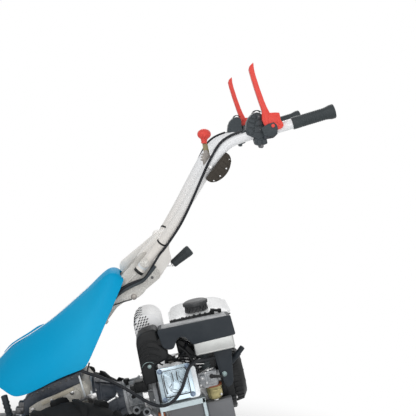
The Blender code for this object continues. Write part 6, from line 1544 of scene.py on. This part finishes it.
step = 360 / wheel["lugs"]
lugs = [treadLug(side, step * (k + (0.5 if side > 0 else 0))) for side in (-1, 1)
    for k in range(wheel["lugs"])]
addPair("tyre_rubber", moved(joined(carcass, *sideRings, *lugs), hubPlace), bothWheels, tyreRubber,
    "tyre", sharp=45)
print("tyres made")

rimProfile = [(0.13, -0.0372), (0.1316, -0.036), (0.131, -0.034), (0.1268, -0.0325), (0.1255, -0.025),
    (0.1235, -0.018), (0.115, -0.013), (0.113, 0.0), (0.1135, 0.011), (0.122, 0.017), (0.125, 0.024),
    (0.1268, 0.0325), (0.131, 0.034), (0.1316, 0.036), (0.13, 0.0372), (0.1245, 0.0345), (0.1225, 0.025),
    (0.119, 0.019), (0.1105, 0.0135), (0.1, 0.0125), (0.09, 0.0105), (0.078, 0.005), (0.068, 0.002),
    (0.036, 0.001), (0.036, -0.0025), (0.069, -0.0015), (0.08, 0.0018), (0.092, 0.007), (0.101, 0.009),
    (0.1095, 0.0075), (0.1102, -0.003), (0.1115, -0.0155), (0.12, -0.0205), (0.122, -0.027),
    (0.1232, -0.0345)]
rimShell = lathe(rimProfile, 96, closed=True, direction=toFar)
hub = lathe([(0.0158, -0.03), (0.033, -0.03), (0.0355, -0.0285), (0.036, -0.025), (0.036, 0.039),
        (0.0345, 0.04), (0.0158, 0.04)], 48, closed=True, direction=toFar)
dome = block((0.074, 0.104), (-0.004, 0.007), (-0.011, 0.011), 0.0048, 3)
for v in dome.verts:
    v.co.y += (v.co.x - 0.074) * 0.22
presses = around(wheel["wheelBolts"], "Y", dome, 36)
addPair("rim_pressing", moved(joined(rimShell, hub, *presses), hubPlace), bothWheels, whitePaint,
    "rim", sharp=40)
wheelBolts = []
for z, x in circle(wheel["wheelBolts"], 0.052):
    wheelBolts.append(hexHead((x, -0.002, z), toNear, 0.008, 0.0075))
    wheelBolts.append(crossRod(x, z, 0.001, 0.013, 0.0045, sides=16, bevel=0.0008))
addPair("wheel_bolts", moved(joined(*wheelBolts), hubPlace), bothWheels, brightSteel)
valve = joined(
    rod((0.104, -0.004, 0.018), (0.095, -0.019, 0.0165), 0.0042, 0.0036, 20),
    rod((0.0955, -0.0182, 0.0166), (0.0925, -0.0232, 0.0161), 0.0047, sides=20, bevel=0.0008))
addPair("tyre_valve", moved(valve, hubPlace), bothWheels, blackPlastic)

axle = joined(
    crossRod(0, 0, 0.085, -0.0473, 0.0149, sides=40, bevel=0.0012),
    crossRod(0, 0, -0.03, -0.0335, 0.028, sides=48, bevel=0.0008),
    crossRod(0, 0, -0.033, -0.0425, 0.022, sides=6, bevel=0.0015),
    crossRod(0, 0, 0.0403, 0.0483, 0.025, sides=40, bevel=0.0015),
    crossRod(0, 0, 0.048, 0.052, 0.022, sides=40, bevel=0.001),
    rod((-0.029, -0.0375, 0), (0.029, -0.0375, 0), 0.0018, sides=10),
    *[hexHead((0, 0.0443, s * 0.0245), (0, 0, s), 0.0042, 0.004) for s in (-1, 1)])
addPair("axle_shaft", moved(axle, hubPlace), bothWheels, brightSteel, "axle")
print("rims and axles made")


# Cutter: bar, fingers, knife, shoes, and the drive in front of the gearbox
cutter = {"pitch": 0.0762, "fingers": 15, "half": 0.5954, "back": -0.68, "front": -0.75,
    "clipsAt": (0.15, 0.34, 0.53), "knifePitches": 13.4}
barBody = block((cutter["front"] + 0.0005, cutter["back"] - 0.0003), (-cutter["half"], cutter["half"]),
    (0.0282, 0.0378), 0.0018)
fingerSpots = [(k - (cutter["fingers"] - 1) / 2) * cutter["pitch"] for k in range(cutter["fingers"])]
fingers = []
for y in fingerSpots:
    finger = plate([(-0.749, 0.028), (-0.772, 0.0185), (-0.8, 0.015), (-0.838, 0.0155), (-0.86, 0.024),
            (-0.8678, 0.034), (-0.861, 0.042), (-0.842, 0.0515), (-0.805, 0.0566), (-0.765, 0.0562),
            (-0.7585, 0.053), (-0.7585, 0.0443), (-0.832, 0.0443), (-0.832, 0.0379), (-0.749, 0.0379)],
        -0.0108, 0.0108, bevel=0.0014)
    for v in finger.verts:
        v.co.y *= min(1.0, 0.22 + (v.co.x + 0.868) * 11)
        if v.co.z > 0.046:
            v.co.y *= 0.72
        v.co.y += y
    fingers.append(finger)
pads = [block((-0.748, -0.69), (y - 0.02, y + 0.02), (0.0235, 0.029), 0.0015) for y in fingerSpots]
onChassis("finger_bar_steel", [barBody, *fingers, *pads], darkSteel, "finger_bar")
onChassis("finger_ledger_plates", [plate(
            [(-0.75, y - 0.017), (-0.75, y + 0.017), (-0.815, y + 0.0075), (-0.815, y - 0.0075)], 0.0366,
            0.0382, "XY", 0.0003) for y in fingerSpots], knifeSteel)
barBolts = [hexHead((-0.6905, y, 0.0378), toTop, 0.0062, 0.0055) for y in fingerSpots if abs(y) > 0.03]
clips = []
for at in cutter["clipsAt"]:
    for side in (-1, 1):
        y = side * at
        clips += [
            block((-0.744, -0.699), (y - 0.015, y + 0.015), (0.0442, 0.0474), 0.001),
            block((-0.717, -0.699), (y - 0.015, y + 0.015), (0.0376, 0.045), 0.001)]
        barBolts.append(hexHead((-0.708, y, 0.0474), toTop, 0.0062, 0.0055))
onChassis("knife_hold_down_clips", clips, darkSteel)
onChassis("finger_bar_bolts", barBolts, brightSteel)

teethSpots = [(k - (cutter["fingers"] - 2) / 2) * cutter["pitch"] for k in range(cutter["fingers"] - 1)]
knifeHalf = cutter["knifePitches"] / 2 * cutter["pitch"]
knifeBack = block((-0.742, -0.7222), (-knifeHalf, knifeHalf), (0.0385, 0.0431), 0.0008)
sections, faces, rivets = [], [], []
for y in teethSpots:
    half = cutter["pitch"] / 2 - 0.0004
    sections.append(plate([(-0.726, y - half), (-0.748, y - half), (-0.8055, y - 0.0065),
                (-0.8055, y + 0.0065), (-0.748, y + half), (-0.726, y + half)], 0.0391, 0.0417, "XY",
            0.0005))
    faces.append(plate([(-0.7262, y - half + 0.003), (-0.747, y - half + 0.006), (-0.799, y - 0.0035),
                (-0.799, y + 0.0035), (-0.747, y + half - 0.006), (-0.7262, y + half - 0.003)], 0.041,
            0.0421, "XY", 0.0003))
    rivets += [panHead((-0.752, y + s * 0.012, 0.042), toTop, 0.004, 0.0012) for s in (-1, 1)]
cheekOutline = [(-0.733, 0.042), (-0.733, 0.066), (-0.727, 0.073), (-0.705, 0.073), (-0.6992, 0.066),
    (-0.6992, 0.039), (-0.724, 0.039)]
cheeks = [plate(cheekOutline, side * 0.0165 - 0.0038, side * 0.0165 + 0.0038, bevel=0.0014)
    for side in (-1, 1)]
addPiece("knife_sections", sections, "knife", knifeSteel, "knife")
addPiece("knife_section_faces", [knifeBack, *faces, *cheeks], "knife", knifeSteel)
addPiece("knife_rivets", rivets, "knife", brightSteel)
print("cutter bar and knife made")

shoeOutline = [(-0.879, 0.04), (-0.867, 0.0225), (-0.84, 0.0055), (-0.815, 0.0004), (-0.65, 0.0004),
    (-0.633, 0.0065), (-0.633, 0.0274), (-0.752, 0.0274), (-0.835, 0.0202), (-0.862, 0.034),
    (-0.874, 0.0455)]
addPair("shoe_runner", [
        plate(shoeOutline, -0.6012, -0.5576, bevel=0.0028, segments=3),
        block((-0.825, -0.655), (-0.585, -0.574), (0.018, 0.0262), 0.0015)], ("chassis", "chassis"),
    darkSteel, "shoe")
addPair("shoe_bolts", [
        *[hexHead((x, -0.579, 0.0376), toTop, 0.007, 0.006) for x in (-0.738, -0.7)],
        *[hexHead((x, -0.6003, 0.013), toNear, 0.005, 0.001) for x in (-0.79, -0.67)]],
    ("chassis", "chassis"), brightSteel)
print("shoes made")

addPiece("drive_arm_forging", [
        rod((-0.6, 0, 0.0475), (-0.6, 0, 0.0612), 0.033, sides=48, bevel=0.002),
        rod((-0.6, 0, 0.06), (-0.6, 0, 0.0732), 0.0218, sides=48, bevel=0.002),
        plate([(-0.6, -0.029), (-0.6, 0.029), (-0.65, 0.015), (-0.702, 0.0088), (-0.702, -0.0088),
                (-0.65, -0.015)], 0.048, 0.0608, "XY", 0.0025),
        plate([(-0.615, -0.006), (-0.615, 0.006), (-0.69, 0.0035), (-0.69, -0.0035)], 0.06, 0.064, "XY",
            0.0015),
        lathe([(0.0, 0.045), (0.006, 0.046), (0.0095, 0.049), (0.0104, 0.0543), (0.0095, 0.06),
                (0.006, 0.0632), (0.0, 0.064)], 32, start=(-0.715, 0, 0))], "drive_arm", darkSteel,
    "drive_arm")
addPiece("drive_arm_bolt",
    [hexHead((-0.6, 0, 0.064), toTop, 0.01, 0.009), panHead((-0.715, 0, 0.0634), toTop, 0.005, 0.0024)],
    "drive_arm", brightSteel)

beamSide = [(-0.188, 0.346), (-0.28, 0.342), (-0.44, 0.268), (-0.638, 0.1225), (-0.638, 0.0746),
    (-0.53, 0.0746), (-0.4, 0.161), (-0.3, 0.216), (-0.188, 0.239)]
housing = plate(beamSide, -0.0455, 0.0455, bevel=0.008, segments=3)
collar = plate([(-0.208, 0.236), (-0.208, 0.3485), (-0.188, 0.3485), (-0.188, 0.236)], -0.048, 0.048,
    bevel=0.003)
upperRib = [(-0.225, 0.333), (-0.282, 0.33), (-0.435, 0.258), (-0.618, 0.12), (-0.618, 0.112),
    (-0.435, 0.248), (-0.282, 0.32), (-0.225, 0.323)]
lowerRib = [(-0.225, 0.265), (-0.3, 0.242), (-0.4, 0.187), (-0.54, 0.095), (-0.618, 0.095), (-0.618, 0.087),
    (-0.536, 0.087), (-0.4, 0.177), (-0.3, 0.232), (-0.225, 0.255)]
sideRibs = []
for side in (-1, 1):
    sideRibs += [plate(line, side * 0.0465 - 0.003, side * 0.0465 + 0.003, bevel=0.0015)
        for line in (upperRib, lowerRib)]
    sideRibs += [plate([(x - 0.004, z - 0.044), (x - 0.004, z + 0.044), (x + 0.004, z + 0.044),
                (x + 0.004, z - 0.044)], side * 0.046 - 0.0025, side * 0.046 + 0.0025, bevel=0.0012)
        for x, z in ((-0.3, 0.285), (-0.36, 0.26), (-0.44, 0.205), (-0.52, 0.145))]
crossBeam = block((-0.6338, -0.5785), (-0.0835, 0.0835), (0.0742, 0.098), 0.0045, 3)
legs = [block((-0.6975, -0.5815), (side * 0.068 - 0.0155, side * 0.068 + 0.0155), (0.0384, 0.098), 0.005, 3)
    for side in (-1, 1)]
feet = [block((-0.6975, -0.68), (side * 0.068 - 0.0158, side * 0.068 + 0.0158), (0.0384, 0.05), 0.0025)
    for side in (-1, 1)]
onChassis("drive_housing_casting", [housing, collar, *sideRibs, crossBeam, *legs, *feet], darkCasting,
    "drive_housing", sharp=40)
onChassis("drive_housing_lid", plate(
        [(-0.29, 0.34), (-0.442, 0.27), (-0.632, 0.13), (-0.63, 0.125), (-0.44, 0.265), (-0.289, 0.335)],
        -0.034, 0.034, bevel=0.0008), castAlloy)
driveBolts = []
for start, end, count in (((-0.305, 0.333), (-0.42, 0.28), 3), ((-0.465, 0.2528), (-0.6, 0.1535), 3)):
    slope = Vector((end[0] - start[0], 0, end[1] - start[1]))
    out = Vector((slope.z, 0, -slope.x)).normalized()
    for k in range(count):
        for y in (-0.026, 0.026):
            at = Vector((start[0], y, start[1])) + slope * (k / (count - 1)) + out * 0.0008
            driveBolts.append(hexHead(at, out, 0.0052, 0.0045))
for side in (-1, 1):
    driveBolts += [hexHead((x, side * 0.068, 0.098), toTop, 0.0075, 0.007) for x in (-0.6, -0.672)]
driveBolts += [hexHead((-0.164, y, 0.3 + z), toFront, 0.006, 0.006) for z, y in circle(6, 0.062)]
onChassis("drive_bolts", driveBolts, brightSteel)
onChassis("coupling_ring", [
        lathe([(0.02, -0.1503), (0.0718, -0.1503), (0.072, -0.1515), (0.072, -0.163), (0.07, -0.164),
                (0.054, -0.165), (0.052, -0.168), (0.052, -0.1858), (0.02, -0.1858)], 72, closed=True,
            start=(0, 0, 0.3), direction=toRear),
        lathe([(0.0525, -0.174), (0.055, -0.1755), (0.055, -0.1785), (0.0525, -0.18)], 72, closed=True,
            start=(0, 0, 0.3), direction=toRear)], castAlloy, "coupling_flange")
print("drive made")


# Each node of the model takes a finish as well, also where a piece stands in for it
nodeFinishes = [(tyreRubber, "left_tyre right_tyre"),
    (whitePaint, "left_rim right_rim fuel_tank muffler_guard left_handle_tube right_handle_tube"),
    (brightSteel, "left_axle right_axle crankshaft air_cleaner_body muffler pivot_bolt"),
    (brightSteel, "gear_lever_gate height_lock_lever"),
    (castAlloy, "gearbox_housing crankcase flywheel_fan carburettor engine_base coupling_flange"),
    (castAlloy, "drive_arm"),
    (darkCasting, "gearbox_cover bell_housing left_lever_bracket right_lever_bracket"),
    (darkCasting, "drive_housing"), (coverAlloy, "valve_cover"),
    (blackPlastic, "fan_housing recoil_cover fuel_cap cylinder_shroud starter_grip choke_lever"),
    (blackPaint, "tank_bracket control_shield"),
    (greyPlastic, "air_cleaner_cover left_control_housing right_control_housing"),
    (yellowZinc, "float_bowl"), (creamCasting, "steering_column head_bracket"), (hoodBlue, "hood"),
    (cableSheath, "lower_cable left_hand_cable right_hand_cable"),
    (gripRubber, "left_grip right_grip knee_pad height_lock_grip"), (whiteCasting, "handle_yoke"),
    (redPlastic, "left_hand_lever right_hand_lever gear_lever_knob"), (brownSteel, "gear_lever_stem"),
    (darkSteel, "finger_bar left_shoe right_shoe"), (knifeSteel, "knife")]
for finish, names in nodeFinishes:
    for name in names.split():
        nodes[name].data.materials.clear()
        nodes[name].data.materials.append(finish)
print("nodes finished:", len(nodes))


# Camera, light and floor
camera = {"at": (0.2739, -2.63, 1.164), "yaw": 4.28, "pitch": 4.41, "lens": 77.37}
yaw, pitch = math.radians(camera["yaw"]), math.radians(camera["pitch"])
lookingAlong = Vector((math.sin(yaw) * math.cos(pitch), math.cos(yaw) * math.cos(pitch), -math.sin(pitch)))
cameraData = bpy.data.cameras.new("camera")
cameraData.lens = camera["lens"]
cameraData.sensor_width = 36
cameraObject = bpy.data.objects.new("camera", cameraData)
cameraObject.location = camera["at"]
cameraObject.rotation_euler = lookingAlong.to_track_quat("-Z", "Y").to_euler()
bpy.context.scene.collection.objects.link(cameraObject)
bpy.context.scene.camera = cameraObject
bpy.context.scene.view_settings.view_transform = "Standard"

studio = {"aimAt": (0.1, 0, 0.6), "sky": 0.44, "floor": (0.93, 0.93, 0.93), "fadeFrom": 0.95,
    "fadeTo": 1.55}
softBoxes = [{"name": "key", "at": (-1.6, -3.2, 3.6), "size": 2.2, "watts": 56},
    {"name": "front", "at": (0.9, -4.0, 0.9), "size": 2.6, "watts": 40},
    {"name": "fill", "at": (3.4, -1.6, 2.4), "size": 2.4, "watts": 18},
    {"name": "back", "at": (0.4, 3.2, 3.2), "size": 2.2, "watts": 34}]
for lamp in softBoxes:
    light = bpy.data.lights.new(lamp["name"], "AREA")
    light.shape = "SQUARE"
    light.size = lamp["size"]
    light.energy = lamp["watts"]
    lightObject = bpy.data.objects.new(lamp["name"], light)
    lightObject.location = lamp["at"]
    towards = Vector(studio["aimAt"]) - Vector(lamp["at"])
    lightObject.rotation_euler = towards.to_track_quat("-Z", "Y").to_euler()
    lightObject.visible_camera = False
    bpy.context.scene.collection.objects.link(lightObject)


def seenDirectly(tree):
    # 1 for rays that come from the camera, a mirror-like surface or glass
    path = tree.nodes.new("ShaderNodeLightPath")
    seen = path.outputs["Is Camera Ray"]
    for ray in ("Is Glossy Ray", "Is Transmission Ray"):
        either = tree.nodes.new("ShaderNodeMath")
        either.operation = "MAXIMUM"
        tree.links.new(seen, either.inputs[0])
        tree.links.new(path.outputs[ray], either.inputs[1])
        seen = either.outputs["Value"]
    return seen


sky = bpy.data.worlds.new("studio")
sky.use_nodes = True
skyTree = sky.node_tree
lighting = skyTree.nodes["Background"]
lighting.inputs["Color"].default_value = (1, 1, 1, 1)
lighting.inputs["Strength"].default_value = studio["sky"]
backdrop = skyTree.nodes.new("ShaderNodeBackground")
backdrop.inputs["Color"].default_value = (1, 1, 1, 1)
backdrop.inputs["Strength"].default_value = 1.0
skyMix = skyTree.nodes.new("ShaderNodeMixShader")
skyTree.links.new(seenDirectly(skyTree), skyMix.inputs["Fac"])
skyTree.links.new(lighting.outputs["Background"], skyMix.inputs[1])
skyTree.links.new(backdrop.outputs["Background"], skyMix.inputs[2])
skyTree.links.new(skyMix.outputs["Shader"], skyTree.nodes["World Output"].inputs["Surface"])
bpy.context.scene.world = sky

floorShape = bmesh.new()
bmesh.ops.create_circle(floorShape, cap_ends=True, segments=96, radius=9.0)
floorMesh = bpy.data.meshes.new("floor")
floorShape.to_mesh(floorMesh)
floorShape.free()
floor = bpy.data.objects.new("floor", floorMesh)
floor.location = (0, 0, -0.0005)
bpy.context.scene.collection.objects.link(floor)
floorFinish, floorTree, floorShader, floorPlace = nodeKit("pale floor", studio["floor"], 0.85, 0.0)
distance = floorTree.nodes.new("ShaderNodeVectorMath")
distance.operation = "LENGTH"
floorTree.links.new(floorPlace, distance.inputs[0])
fade = floorTree.nodes.new("ShaderNodeMapRange")
fade.interpolation_type = "SMOOTHSTEP"
fade.inputs["From Min"].default_value = studio["fadeFrom"]
fade.inputs["From Max"].default_value = studio["fadeTo"]
floorTree.links.new(distance.outputs["Value"], fade.inputs["Value"])
glow = floorTree.nodes.new("ShaderNodeEmission")
floorMix = floorTree.nodes.new("ShaderNodeMixShader")
floorTree.links.new(times(floorTree, fade.outputs["Result"], seenDirectly(floorTree)),
    floorMix.inputs["Fac"])
floorTree.links.new(floorShader.outputs["BSDF"], floorMix.inputs[1])
floorTree.links.new(glow.outputs["Emission"], floorMix.inputs[2])
floorTree.links.new(floorMix.outputs["Shader"], floorTree.nodes["Material Output"].inputs["Surface"])
floorMesh.materials.append(floorFinish)
print("studio set")
